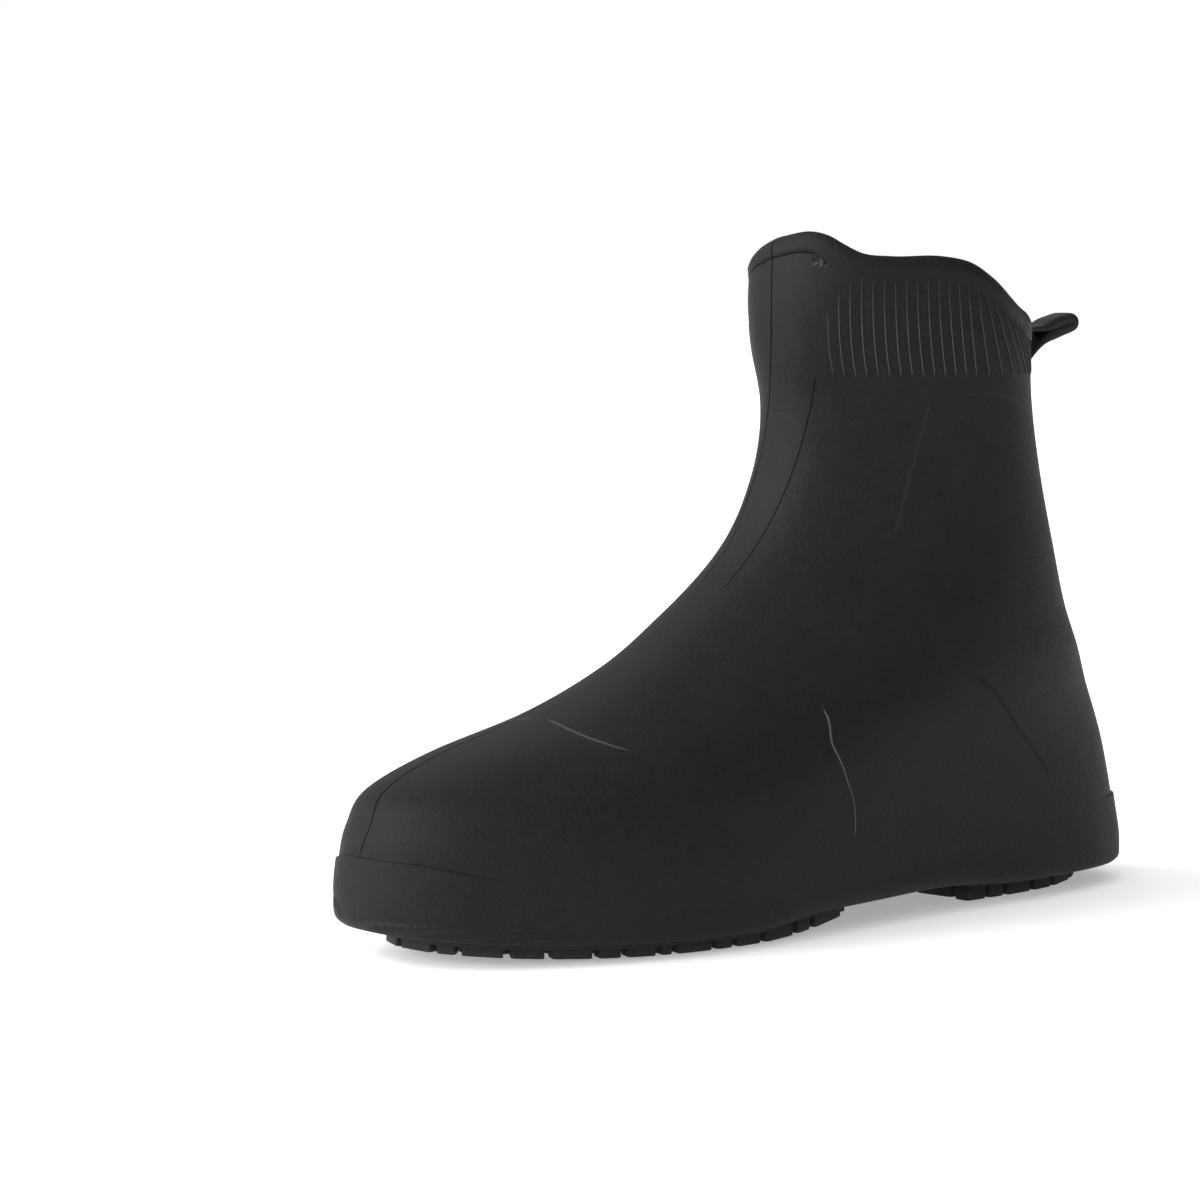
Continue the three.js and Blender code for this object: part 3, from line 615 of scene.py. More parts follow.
def make_rubber(name, tone, rough, lines=(), flawed=False):
    """Satin black rubber. Tone is how pale it is, and lines are the lines that it shows."""
    finish = Finish(name)
    _, _, paleness = finish.place()
    cloud, mottle, speck, grain = (finish.noise(*kind) for kind in (CLOUD, MOTTLE, SPECK, GRAIN))
    dust_and_highlights = 0.28 + cloud * 0.44 + mottle * 0.4 + speck * 0.6
    relief, depth = 0.0, 0.0
    # Paler lines are painted highlights along folds; darker ones are painted shade in grooves.
    for line, width, soft, paler, rise in lines:
        mark = finish.line(line, width, soft)
        if paler > 0:
            dust_and_highlights = dust_and_highlights + mark * paler
        else:
            depth = depth - mark * paler
        relief = relief + mark * rise
    if flawed:
        zone = flaw_zone(finish)
        fleck = finish.noise(*FLECK)
        pale = finish.step(fleck, *FLECK_PALE) * zone
        # The pits of the flaws get painted shade through the black groove mix.
        pit = (1 - finish.step(fleck, *FLECK_PIT)) * zone
        dust_and_highlights = dust_and_highlights + pale * 4.0
        depth = depth + pit * 0.6
        relief = relief + pale * 0.2 - pit * 0.3
    # The colour: clouds and grain, painted highlights along the lines, pale flaw flecks and each point's
    # paleness, which holds rubbing and painted highlights.
    shade = dust_and_highlights + paleness
    palest = (PALEST * tone, PALEST * tone, PALEST * tone * 1.01, 1)
    values = {"Factor": shade / PALEST, "A": (0, 0, 0, 1), "B": palest}
    colour = finish.node("ShaderNodeMix", {"data_type": "RGBA"}, values, output=2)
    height = grain * 0.11 + speck * 0.24 + mottle * 0.14 + cloud * 0.3 + relief
    values = {"Height": height, "Strength": 1.0, "Distance": 0.001}
    bump = finish.node("ShaderNodeBump", None, values, output="Normal")
    finish.set(
        Base_Color=colour,
        Roughness=rough + (mottle - 0.5) * 0.1 + (cloud - 0.5) * 0.1,
        Specular_IOR_Level=SPECULAR,
        Normal=bump,
    )
    if lines:
        finish.grooved(depth)
    return finish.material


print("The palest rubber is", PALEST, "times as pale as the plain rubber")

# %% The four rubbers
# Each line: its name, its width and the softness of its edges in mm, how much paler it is than the
# rubber, as a painted highlight along a fold, or below zero how dark its groove is, as painted shade,
# and its rise in mm.
SHELL_LINES = (
    ("seam", 0.25, 0.3, -0.75, -0.2),
    ("band_step", 0.2, 0.35, -0.85, -0.1),
    ("panel", 0.18, 0.3, -0.65, -0.15),
    ("panel_inner", 0.18, 0.3, -0.65, -0.15),
    ("crease", 0.12, 0.22, 7.0, 0.2),
    ("hollow", 0.2, 0.9, -0.28, -0.12),
    ("ridge", 0.08, 0.2, 3.5, 0.12),
    ("ridge_inner", 0.08, 0.2, 2.5, 0.12),
    ("faint", 0.2, 0.7, 0.5, 0.08),
    ("faint_inner", 0.2, 0.7, 0.5, 0.08),
    ("arc", 0.5, 1.6, 0.2, 0.1),
)
shell_rubber = make_rubber("shell_rubber", 0.011, 0.52, SHELL_LINES, flawed=True)
band_rubber = make_rubber("band_rubber", 0.0102, 0.5, SHELL_LINES[:1])
tread_rubber = make_rubber("tread_rubber", 0.023, 0.6)
loop_rubber = make_rubber("loop_rubber", 0.014, 0.42)
print("Finishes:", [material.name for material in bpy.data.materials])

# %% [markdown]
# ## The shell
# The real shell is one moulding about 2 mm thick. Round toe and heel its rubber is thicker and ends in a
# small raised edge. The outer face is one grid that bends its rows to follow that edge, the inner face is
# a coarser grid one wall inside, and two flat closings make the sole and the floor inside the shoe.

# %% The raised edge round toe and heel
FOXING_HEIGHT, FOXING_DROP, FOXING_STEP = 29.5, 4.0, 0.9
EDGE_RADIUS = 0.8
# Between which distances from the toe's tip, in turns, the edge dips and rises again and fades out.
DIP_OUTER, DIP_INNER, DIP_ENDS = (0.08, 0.21), (0, 0.13), (0.3, 0.8)
TOE_FADE_FROM, TOE_FADE_OUTER, TOE_FADE_INNER = 0.14, 0.21, 0.34
HEEL_BEGINS = (0.82, 0.9)


def foxing_level(turn):
    """The height of the raised edge, which dips a little behind the toe."""
    from_front = np.abs(np.asarray(turn) - 1)
    dip = np.where(np.asarray(turn) > 1, ramp(*DIP_INNER, from_front), ramp(*DIP_OUTER, from_front))
    return FOXING_HEIGHT - FOXING_DROP * dip * (1 - ramp(*DIP_ENDS, from_front))


def foxing_step(turn):
    """How far the thick rubber stands out; it fades along the sides."""
    from_front = np.abs(np.asarray(turn) - 1)
    fades_to = np.where(np.asarray(turn) > 1, TOE_FADE_INNER, TOE_FADE_OUTER)
    toe = 1 - ramp(TOE_FADE_FROM, fades_to, from_front)
    return FOXING_STEP * np.maximum(toe, ramp(*HEEL_BEGINS, from_front))


def low_height(turn, level):
    """How far the thick rubber stands off the plain form near the sole, with a rounded lower edge."""
    full = foxing_step(turn) * ramp(SOLE_LEVEL, SOLE_LEVEL + SOLE_THICKNESS, level)
    down = np.clip((SOLE_LEVEL + EDGE_RADIUS - level) / EDGE_RADIUS, 0, 1)
    return full - EDGE_RADIUS * (1 - np.sqrt(1 - down**2))


print("The raised edge at the toe's tip, mm:", float(foxing_level(1)), "high and", FOXING_STEP, "proud")

# %% The outer face
COLUMNS = 432
CUFF_BOTTOM, SHAFT_BOTTOM = 176.0, 90
# How far below the rim the shell ends, hidden by the band.
SHELL_BELOW_RIM = 3
LOW_LEVELS = (4.9, 4.96, 5.1, 5.35, 5.7, 6.2, 6.9, 7.8, 9, 10.5, 12.5, 15, 18, 21.3)
# Rows beside the raised edge: how far above it they are, and how much of its step they have.
UNDER_EDGE = (-1.6, -0.8, -0.4, -0.2)
OVER_EDGE = ((-0.05, 0.85), (0.1, 0.4), (0.25, 0.08), (0.5, 0))
FIRST_FREE_ROW = 1.2
SIDE_ROWS, SHAFT_ROWS, CUFF_ROWS = 46, 49, 16
turns = np.arange(COLUMNS) * 2 / COLUMNS


def row_levels():
    """The level of every row at every column, and how much of the thick rubber it has."""
    edge = foxing_level(turns)
    top = rim_level(turns) - SHELL_BELOW_RIM
    rows = [(np.full(COLUMNS, z), 1.0) for z in LOW_LEVELS]
    rows += [(edge + lift, 1.0) for lift in UNDER_EDGE]
    rows += [(edge + lift, share) for lift, share in OVER_EDGE]
    low = edge + FIRST_FREE_ROW
    rows += [(low + (SHAFT_BOTTOM - low) * k / SIDE_ROWS, 0) for k in range(SIDE_ROWS + 1)]
    rows += [(np.full(COLUMNS, z), 0) for z in np.linspace(SHAFT_BOTTOM, CUFF_BOTTOM, SHAFT_ROWS + 1)[1:]]
    rows += [(CUFF_BOTTOM + (top - CUFF_BOTTOM) * k / CUFF_ROWS, 0) for k in range(1, CUFF_ROWS + 1)]
    return np.array([z for z, _ in rows]), np.array([share for _, share in rows])


def soft_unevenness(points):
    """Slow swells of a few tenths of a millimetre, as limp rubber has: two sums of bent sine waves."""
    x, y, z = points.T
    return (
        0.35 * np.sin(x / 17 + 1.3 * np.sin(y / 41) + 0.6) * np.sin(z / 23 + 0.9 * np.sin(x / 29))
        + 0.25 * np.sin(y / 19 + 1.7 * np.sin(z / 37)) * np.sin(z / 31 + x / 27 + 1.1)
    )


# Between which levels the swells begin above the sole and end below the cuff.
SWELL_BEGINS, SWELL_ENDS = (12, 40), (176, 190)
levels, thick = row_levels()
grid_turns = np.broadcast_to(turns, levels.shape)
swell = soft_unevenness(face_point(grid_turns, levels)).reshape(levels.shape)
swell = swell * ramp(*SWELL_BEGINS, levels) * (1 - ramp(*SWELL_ENDS, levels))
edge_part = np.where(thick[:, None] > 0, low_height(grid_turns, levels) * thick[:, None], 0)
outer = raised(grid_turns, levels, edge_part + swell)
around = distance_round(outer)
shell = Rubber()
outer_notes = np.stack([around, levels, np.zeros(levels.shape)], -1)
outer_index = shell.grid(outer, outer_notes, line_offsets(grid_turns, levels), closed=True)
shell.across(outer_index[0], flip=True)
print("Outer face:", outer.shape[0], "rows of", outer.shape[1])

# %% The inner face
INNER_ROWS, INNER_CROWDING = 46, 1.2
inner_floor = SOLE_LEVEL + SOLE_THICKNESS + 0.4
inner_share = np.linspace(0, 1, INNER_ROWS)[:, None] ** INNER_CROWDING
inner_top = rim_level(turns) - SHELL_BELOW_RIM
inner_levels = inner_floor + (inner_top - inner_floor) * inner_share
inner_turns = np.broadcast_to(turns, inner_levels.shape)
inner = raised(inner_turns, inner_levels, -WALL)
inner_index = shell.grid(inner, notes_of(inner_levels, 0 * inner_levels), closed=True, flip=True)
shell.across(inner_index[0])
shell.bridge(outer_index[-1], inner_index[-1])
print("Inner face:", INNER_ROWS, "rows")

# %% [markdown]
# ## The ribs of the cuff
# Thin raised ribs run down the cuff, 3.8 mm apart, all round but for a plain strip at the front and the
# loop's place at the back. Each is a strip with a rounded crest, laid on the shell and sunk at its edges.
# They lean back a little as they go down, and more so towards the loop, which pulls the rubber with it.
# The crests are painted paler, partly for rubbing and partly as a painted highlight, and most of all low on
# the cuff.

# %% Ribs
RIB_PITCH, RIB_WIDTH, RIB_HEIGHT = 3.8, 0.6, 0.36
RIB_FRONT_SPACE, RIB_TOP_SPACE = 16.2, 0.3
BAND_HEIGHT, LOOP_WIDTH = 6.5, 10.0
# The least and the most lean, in mm a mm, and where it grows and falls again, as shares of the way back.
RIB_LEAN_LEAST, RIB_LEAN_MOST = 0.09, 0.75
LEAN_GROWS, LEAN_FALLS = (0.48, 0.68), (0.72, 0.97)
# How pale the crests are painted low down, for rubbing and as a painted highlight, how much of that they
# lose on the way up, and where.
RIB_WEAR_AND_HIGHLIGHT, RIB_PALE_LOST, RIB_PALE_FALLS = 6.5, 0.7, (0.4, 0.95)
# How far the edges of a rib are sunk, how softly it begins at its foot, and how softly at its top.
RIB_SUNK, RIB_FOOT, RIB_TIP = 0.05, (-0.02, 0.05), (0.08, 0.02)
# For the ribs next to the plain front strip: how strong each is, and from where down, as a share.
RIB_STARTS = ((0.12, 0.8), (0.55, 0.45), (0.75, 0.25), (0.9, 0.1))

cuff_ring = face_point(AROUND, (CUFF_BOTTOM + HEIGHT) / 2)
cuff_run = run_along(cuff_ring)
cuff_front = float(np.interp(1, AROUND, cuff_run))


def rib_places():
    """Where the ribs stand, as distances from the back, and which rib from the front each is."""
    back = LOOP_WIDTH / 2 + RIB_PITCH
    outer_side = (back, cuff_front - RIB_FRONT_SPACE)
    inner_side = (cuff_front + RIB_FRONT_SPACE, cuff_run[-1] - back)
    found = []
    for low, high in (outer_side, inner_side):
        count = int((high - low) / RIB_PITCH)
        start = low if low > cuff_front else high - count * RIB_PITCH
        for k in range(count + 1):
            found.append((start + RIB_PITCH * k, k if low > cuff_front else count - k))
    return found


# A rib's section: across, as a share of its width, and up, as a share of its height.
RIB_SECTION = np.array([[-0.5, -0.15], [-0.3, 0.75], [0, 1], [0.3, 0.75], [0.5, -0.15]])
RIB_ROWS = 19
rib_rows = np.linspace(0, 1, RIB_ROWS)
ribs = rib_places()
for place, order in ribs:
    side = 1 if place > cuff_front else -1
    strength, starts = RIB_STARTS[order] if order < len(RIB_STARTS) else (1.0, 0.0)
    top_fade = 1 - ramp(1 - starts - RIB_TIP[0], 1 + RIB_TIP[1] - starts, rib_rows)
    shown = top_fade * ramp(*RIB_FOOT, rib_rows) * strength
    turn = float(np.interp(place, cuff_run, AROUND))
    rib_top = rim_level(turn) - BAND_HEIGHT - RIB_TOP_SPACE
    rib_levels = CUFF_BOTTOM + (rib_top - CUFF_BOTTOM) * rib_rows
    from_front = abs(place - cuff_front) / cuff_front
    leaning = ramp(*LEAN_GROWS, from_front) * (1 - ramp(*LEAN_FALLS, from_front))
    lean = RIB_LEAN_LEAST + (RIB_LEAN_MOST - RIB_LEAN_LEAST) * leaning
    leaned = place + side * lean * (rib_top - rib_levels[:, None]) + RIB_SECTION[:, 0] * RIB_WIDTH
    grid_t = np.interp(leaned, cuff_run, AROUND)
    grid_z = np.broadcast_to(rib_levels[:, None], grid_t.shape)
    rib_heights = RIB_SECTION[:, 1] * RIB_HEIGHT * shown[:, None] - RIB_SUNK
    # The crests are painted paler: partly rubbing, partly a painted highlight.
    crest_wear_and_highlight = RIB_WEAR_AND_HIGHLIGHT * shown[:, None] * (1 - RIB_PALE_LOST * ramp(*RIB_PALE_FALLS, rib_rows))[:, None]
    crest = np.clip(RIB_SECTION[:, 1], 0, 1) ** 5 * crest_wear_and_highlight
    shell.grid(raised(grid_t, grid_z, rib_heights), notes_of(grid_z, crest), flip=True)
print("Ribs:", len(ribs))

# %% [markdown]
# ## The leaf lugs
# Low on the toe and along the inner side of the forefoot runs a row of flat lugs, each one lapping over
# the next like leaves. They could be modelled one by one, but one fine strip with a slanted sawtooth for
# its height gives the same row: each leaf rises slowly towards the heel and drops at a slanted edge.

# %% A strip of leaves
# How far the strip's edges are sunk, how high a leaf starts and where it drops, as shares, where its
# pale edge is and how wide, how worn its face is, and how strong the painted highlight on its edge is.
LEAF_SUNK, LEAF_START, LEAF_DROPS = 0.08, 0.2, (0.93, 1)
LEAF_EDGE, LEAF_EDGE_WIDTH = 0.9, 0.04
LEAF_FACE_WEAR, LEAF_EDGE_HIGHLIGHT = 0.15, 2.2


def leaf_strip(first, last, low, high, pitch, lean, height, columns=380, rows=21):
    """A row of leaves on the shell's face between two turns and two levels."""
    strip_turns = np.linspace(first, last, columns)
    run = run_along(face_point(strip_turns, (low + high) / 2))
    up = np.linspace(0, 1, rows)[:, None]
    ends = ramp(0, 0.5 * pitch, run) * (1 - ramp(run[-1] - 1.5 * pitch, run[-1], run))
    level = low + (high - low) * up * (0.72 + 0.28 * ends)
    along = (run - lean * (level - low)) / pitch
    share = along % 1
    leaf = (LEAF_START + (1 - LEAF_START) * share**1.2) * (1 - ramp(*LEAF_DROPS, share))
    bulge = np.sin(math.pi * np.clip(up, 0.001, 0.999)) ** 0.6
    grid_t = np.broadcast_to(strip_turns, level.shape)
    proud = low_height(grid_t, level) - LEAF_SUNK + height * leaf * bulge * ends
    # Each leaf's drop edge gets a painted highlight, and its face is a little paler with rubbing.
    edge = np.exp(-(((share - LEAF_EDGE) / LEAF_EDGE_WIDTH) ** 2))
    wear_and_edge_highlight = (LEAF_FACE_WEAR * leaf + LEAF_EDGE_HIGHLIGHT * edge) * bulge * ends
    shell.grid(raised(grid_t, level, proud), notes_of(level, wear_and_edge_highlight), flip=first > last)
    return run[-1]


inner_leaves = leaf_strip(1.02, 1.56, low=5.4, high=14.5, pitch=13.0, lean=1.1, height=0.95)
outer_leaves = leaf_strip(1.0, 0.74, low=4.9, high=10.5, pitch=22.0, lean=10.0, height=0.9)
print("Leaf lugs, mm along:", round(inner_leaves), "inside and", round(outer_leaves), "outside")
upper = shell.piece("shell", shell_rubber)
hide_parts("upper")

# %% [markdown]
# ## The band round the mouth
# The mouth ends in a thicker band of rubber. At the front its lower edge is a clear step, and along the
# sides it melts into the shell. One profile is carried round the rim, and its lower part changes with
# the turn from a step to a long soft fillet.

# %% The band
# Its profile, from its lower edge over the rim to its inner edge: mm out from the face, mm above the rim.
# The lower part is a step at the front and a fillet elsewhere, and the rest is the same all round.
BAND_STEP = ((-0.4, -7.4), (0.02, -6.8), (0.38, -6.6), (0.66, -6.25), (0.8, -5.5))
BAND_FILLET = ((-0.4, -9.5), (0.02, -8.6), (0.14, -7.4), (0.32, -6.2), (0.5, -5.0))
BAND_REST = ((0.74, -4.2), (0.56, -3.1), (0.28, -2.2), (-0.06, -1.4), (-0.45, -0.8),
             (-0.85, -0.3), (-1.25, -0.04), (-1.7, 0), (-2.1, -0.12), (-2.42, -0.45),
             (-2.6, -1.0), (-2.56, -2.0), (-2.25, -4.0), (-1.86, -6.2), (-1.6, -7.2))
# Where the step fades, in turns from the front, where the band bulges (behind, and on its outside),
# which rows of the profile are the step's edge, and how strong the painted highlight on that edge is.
STEP_FADES = (0.09, 0.2)
BAND_BULGE, BULGE_FADES, BULGE_OUTSIDE = 0.9, (0.22, 0.3), (-1.5, -0.5)
LIP_ROWS, LIP_HIGHLIGHT = slice(2, 4), 0.2
sharp = 1 - ramp(*STEP_FADES, np.abs(turns - 1))
profile = []
for (step_out, step_up), (soft_out, soft_up) in zip(BAND_STEP, BAND_FILLET):
    profile.append((step_out * sharp + soft_out * (1 - sharp), step_up * sharp + soft_up * (1 - sharp)))
profile += [(np.full(COLUMNS, out), np.full(COLUMNS, up)) for out, up in BAND_REST]
band_out = np.array([out for out, _ in profile])
band_up = np.array([up for _, up in profile])
band_levels = rim_level(turns) + band_up
band_turns = np.broadcast_to(turns, band_levels.shape)
behind = 1 - ramp(*BULGE_FADES, np.minimum(turns, 2 - turns))
back_bulge = BAND_BULGE * behind * ramp(*BULGE_OUTSIDE, band_out)
band_points = raised(band_turns, band_levels, band_out + back_bulge)
band = Rubber()
band_around = distance_round(band_points)
# The step's edge at the front gets a painted highlight.
lip = np.zeros(band_levels.shape)
lip[LIP_ROWS] = LIP_HIGHLIGHT * sharp
band_notes = np.stack([band_around, band_levels, lip], -1)
band_lines = np.full(band_levels.shape + (len(LINE_NAMES),), NO_LINE)
outside = band_out > BULGE_OUTSIDE[0]
across_seam = line_offset("seam", band_turns, band_levels)
band_lines[..., LINE_NAMES.index("seam")] = np.where(outside, across_seam, NO_LINE)
band.grid(band_points, band_notes, band_lines, closed=True)
collar = band.piece("mouth_band", band_rubber)
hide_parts("collar_band")

# %% [markdown]
# ## The pull loop
# A flat strap leaves the back of the cuff, folds round a tight tip and comes back lower down. It is swept
# along its own side view with a rounded section, and it is glossier than the shell.

# %% The loop's route
LOOP_REACH, LOOP_SPAN, LOOP_TOP_DROP = 35.0, 22.0, 1.6
# Its side view from its upper root round its tip to its lower root: out as a share of its reach, and
# down as a share of its span. Each root is sunk into the cuff.
LOOP_OUT = (0, 0.22, 0.46, 0.6, 0.74, 0.88, 0.95, 0.986, 0.986, 0.945, 0.78, 0.62, 0.5, 0.26, 0)
LOOP_DOWN = (-0.1, -0.12, -0.12, -0.14, -0.21, -0.265, -0.28, -0.25,
             -0.19, -0.155, -0.075, 0.02, 0.13, 0.42, 0.9)
LOOP_SUNK, LOOP_STEPS = 0.6, 97
loop_top = float(rim_level(0)) - BAND_HEIGHT - LOOP_TOP_DROP
root_top = face_point([0], [loop_top])[0]
root_low = face_point([0], [loop_top - LOOP_SPAN])[0]
loop_from = root_top[1] + (root_low[1] - root_top[1]) * np.clip(LOOP_DOWN, 0, 1)
loop_y = loop_from + np.array(LOOP_OUT) * LOOP_REACH
loop_z = loop_top - np.array(LOOP_DOWN) * LOOP_SPAN
loop_y[[0, -1]] -= LOOP_SUNK
# Spacing by the root of each distance keeps the curve calm round the tight tip.
loop_run = np.concatenate([[0], np.cumsum(np.hypot(np.diff(loop_y), np.diff(loop_z)) ** 0.5)])
fine_run = np.linspace(0, loop_run[-1], LOOP_STEPS)
fine_y = smooth_through(loop_run, loop_y)(fine_run)
fine_z = smooth_through(loop_run, loop_z)(fine_run)
print("The strap's length, mm:", round(float(np.hypot(np.diff(fine_y), np.diff(fine_z)).sum())))

# %% The loop
# The strap is thicker towards its finger and at its roots, and wider at its roots. Each change lies
# between two shares of its reach.
LOOP_SIDES = 20
LOOP_THICKNESS, LOOP_FINGER, LOOP_ROOT, LOOP_ROOT_WIDTH = 2.2, 4.1, 2.6, 15.0
FINGER_GROWS, ROOT_THINS, ROOT_NARROWS = (0.5, 0.75), (0.1, 0.4), (0.05, 0.5)
# The section's roundness across and through: 1 would be an ellipse, and less is squarer.
ROUND_ACROSS, ROUND_THROUGH = 0.35, 0.6
angle = np.arange(LOOP_SIDES) * 2 * math.pi / LOOP_SIDES
loop_out = (fine_y - fine_y[0]) / LOOP_REACH
loop_thick = LOOP_THICKNESS + (LOOP_FINGER - LOOP_THICKNESS) * ramp(*FINGER_GROWS, loop_out)
loop_thick = loop_thick + (LOOP_ROOT - LOOP_THICKNESS) * (1 - ramp(*ROOT_THINS, loop_out))
loop_wide = LOOP_WIDTH + (LOOP_ROOT_WIDTH - LOOP_WIDTH) * (1 - ramp(*ROOT_NARROWS, loop_out))
round_x = np.sign(np.cos(angle)) * np.abs(np.cos(angle)) ** ROUND_ACROSS * loop_wide[:, None] / 2
round_d = np.sign(np.sin(angle)) * np.abs(np.sin(angle)) ** ROUND_THROUGH * loop_thick[:, None] / 2
slope_y, slope_z = np.gradient(fine_y), np.gradient(fine_z)
size = np.hypot(slope_y, slope_z)
loop_points = np.stack(
    [
        root_top[0] + round_x,
        fine_y[:, None] - round_d * (slope_z / size)[:, None],
        fine_z[:, None] + round_d * (slope_y / size)[:, None],
    ],
    -1,
)
strap = Rubber()
loop_index = strap.grid(loop_points, closed=True)
strap.polygon(loop_index[0], flip=True)
strap.polygon(loop_index[-1])
loop = strap.piece("pull_strap", loop_rubber)
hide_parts("pull_loop")

# %% [markdown]
# ## The treads
# Two pads of cleats carry the overshoe, with an open arch between them. Each pad is a thin web with
# blocks on it: a row round its edge and slanted bars across its middle. A bevel modifier could round
# them, but moulded cleats have a draft as well, so each block is built as a few rings that draw in
# towards the floor and end in a small round edge.

# %% The treads' sizes
TREAD_WEB = 1.9
FOREFOOT_BACK, FOREFOOT_BEVEL, FOREFOOT_RISE = 0.49 * LENGTH, 42.0, 4.2
HEEL_FRONT, HEEL_BEVEL_START, HEEL_BEVEL, HEEL_RISE = 0.2775 * LENGTH, 46.0, 34.0, 2.6
CLEAT_LENGTHS = (13.5, 6.5, 14.0, 11.5, 14.0, 8.0, 10.5, 4.0, 13.5, 6.5, 10.5)
CLEAT_GAP, CLEAT_WIDTH, CLEAT_DRAFT = 1.8, 6.5, 0.35
BAR_DEPTH, BAR_MARGIN, BAR_SLANT = 6.3, 0.8, 1.26
# Each pad: where it starts, its share of the sole's width, and how far it is drawn in at its far end.
PADS = {"forefoot": (FOREFOOT_BACK, 0.885, 0.92), "heel": (HEEL_FRONT, 0.7, 0.832)}


def pad_edge(pad, along, side):
    """How far across the edge of a pad is, on the outer (+1) or inner (-1) side."""
    start, width, drawn_in = PADS[pad]
    along = np.atleast_1d(np.asarray(along, float))
    level = np.full(along.shape, SOLE_LEVEL)
    heel_end, toe_end = section_ends(level)
    spread = np.clip((start + (along - start) / drawn_in - heel_end) / (toe_end - heel_end), 0, 1)
    return side * width * half_width(spread, level, np.full(along.shape, side < 0)) - toe_in_at(along)


def pad_floor(pad, along):
    """The height of a pad's walking face: on the floor, but lifted at the toe and bevelled at its ends."""
    if pad == "heel":
        return HEEL_RISE * np.clip((HEEL_BEVEL_START - along) / HEEL_BEVEL, 0, 1) ** 2
    bevel = np.clip((FOREFOOT_BACK + FOREFOOT_BEVEL - along) / FOREFOOT_BEVEL, 0, 1) ** 2
    return spring_at(along) + FOREFOOT_RISE * bevel


def pad_end(pad):
    """Where along the shoe a pad ends, at the toe or at the back of the heel."""
    start, _, drawn_in = PADS[pad]
    heel_end, toe_end = section_ends(np.array([SOLE_LEVEL]))
    end = (heel_end if pad == "heel" else toe_end)[0]
    return start + (end - start) * drawn_in


print("The pads end at", [round(pad_end(pad), 1) for pad in PADS], "mm from the heel")

# %% One cleat, from its four corners in plan
CORNER_POINTS = 4
# How far from the sole's own level, inside the web, a cleat starts, and how worn each of its rings is.
CLEAT_ROOT, CLEAT_WEAR = -0.6, (0, 0.1, 0.3, 0.9, 0.35)
# Each ring: how far down it is and how much of the draft it has, as shares, and its corners' radius.
CLEAT_RINGS = ((0.0, 0.0, 0.3), (0.6, 1.0, 0.4), (0.93, 1.0, 0.5), (0.985, 1.4, 0.8), (1.0, 2.2, 1.2))


def rounded_plan(corners, inset, radius):
    """The corners drawn in by an inset and rounded by a radius, as one closed row of points."""
    corners = np.asarray(corners, float)
    middle = corners.mean(axis=0)
    reach = corners - middle
    corners = middle + reach * (1 - inset / np.linalg.norm(reach, axis=1, keepdims=True))
    found = []
    for k in range(4):
        before, here, after = corners[k - 1], corners[k], corners[(k + 1) % 4]
        for share in np.linspace(0, 1, CORNER_POINTS):
            one = here + (before - here) / np.linalg.norm(before - here) * radius * (1 - share) ** 2
            found.append(one + (after - here) / np.linalg.norm(after - here) * radius * share**2)
    return np.array(found)


def add_cleat(rubber, pad, corners):
    """Adds one cleat, from inside the web down to the floor."""
    rings = []
    for down, draft, radius in CLEAT_RINGS:
        plan = rounded_plan(corners, CLEAT_DRAFT * draft, radius)
        top = SOLE_LEVEL + lift_at(plan[:, 1]) + CLEAT_ROOT
        foot = pad_floor(pad, plan[:, 1])
        rings.append(to_frame(plan[:, 0], plan[:, 1], top + (foot - top) * down))
    first, second, third = rings[0][: 3 * CORNER_POINTS : CORNER_POINTS]
    turned = np.cross(second - first, third - first)[2] > 0
    paleness = np.array(CLEAT_WEAR)[:, None] * np.ones(len(rings[0]))
    index = rubber.grid(np.array(rings), notes_of(0 * paleness, paleness), closed=True, flip=bool(turned))
    rubber.polygon(index[-1], flip=bool(turned))
    rubber.polygon(index[0], flip=not turned)


print("Rings a cleat:", len(CLEAT_RINGS))

# %% The rows of cleats
# How far inside the pad's edge its cleats begin. The edge is walked in points, and its direction is
# read over a step to either side.
EDGE_MARGIN, WALK_POINTS, WALK_STEP = 0.35, 81, 1.5


def edge_cleats(rubber, pad, side):
    """Cleats along one side of a pad, from its far end, as long as the real ones and stretched to fit."""
    start, end = PADS[pad][0], pad_end(pad)
    walk_along = start + (end - start) * np.cos(np.linspace(0, math.pi / 2, WALK_POINTS))
    walk = np.stack([pad_edge(pad, walk_along, side), walk_along], -1)
    run = run_along(walk)
    forward = math.copysign(1, end - start)

    def corner(place, depth):
        before, at, after = (
            np.array([np.interp(p, run, walk[:, k]) for k in range(2)])
            for p in (place - WALK_STEP, place, place + WALK_STEP)
        )
        step = (after - before) / np.linalg.norm(after - before)
        return at + depth * forward * side * np.array([step[1], -step[0]])

    wanted = []
    while CLEAT_GAP / 2 + sum(wanted) + CLEAT_GAP * len(wanted) < run[-1] - CLEAT_GAP:
        wanted.append(CLEAT_LENGTHS[len(wanted) % len(CLEAT_LENGTHS)])
    stretch = run[-1] / (sum(wanted) + CLEAT_GAP * len(wanted))
    place = CLEAT_GAP / 2 * stretch
    for length in wanted:
        to = place + length * stretch
        outer_corners = [corner(place, EDGE_MARGIN), corner(to, EDGE_MARGIN)]
        inner_corners = [corner(to, CLEAT_WIDTH), corner(place, CLEAT_WIDTH)]
        add_cleat(rubber, pad, outer_corners + inner_corners)
        place = to + CLEAT_GAP * stretch
    return len(wanted)


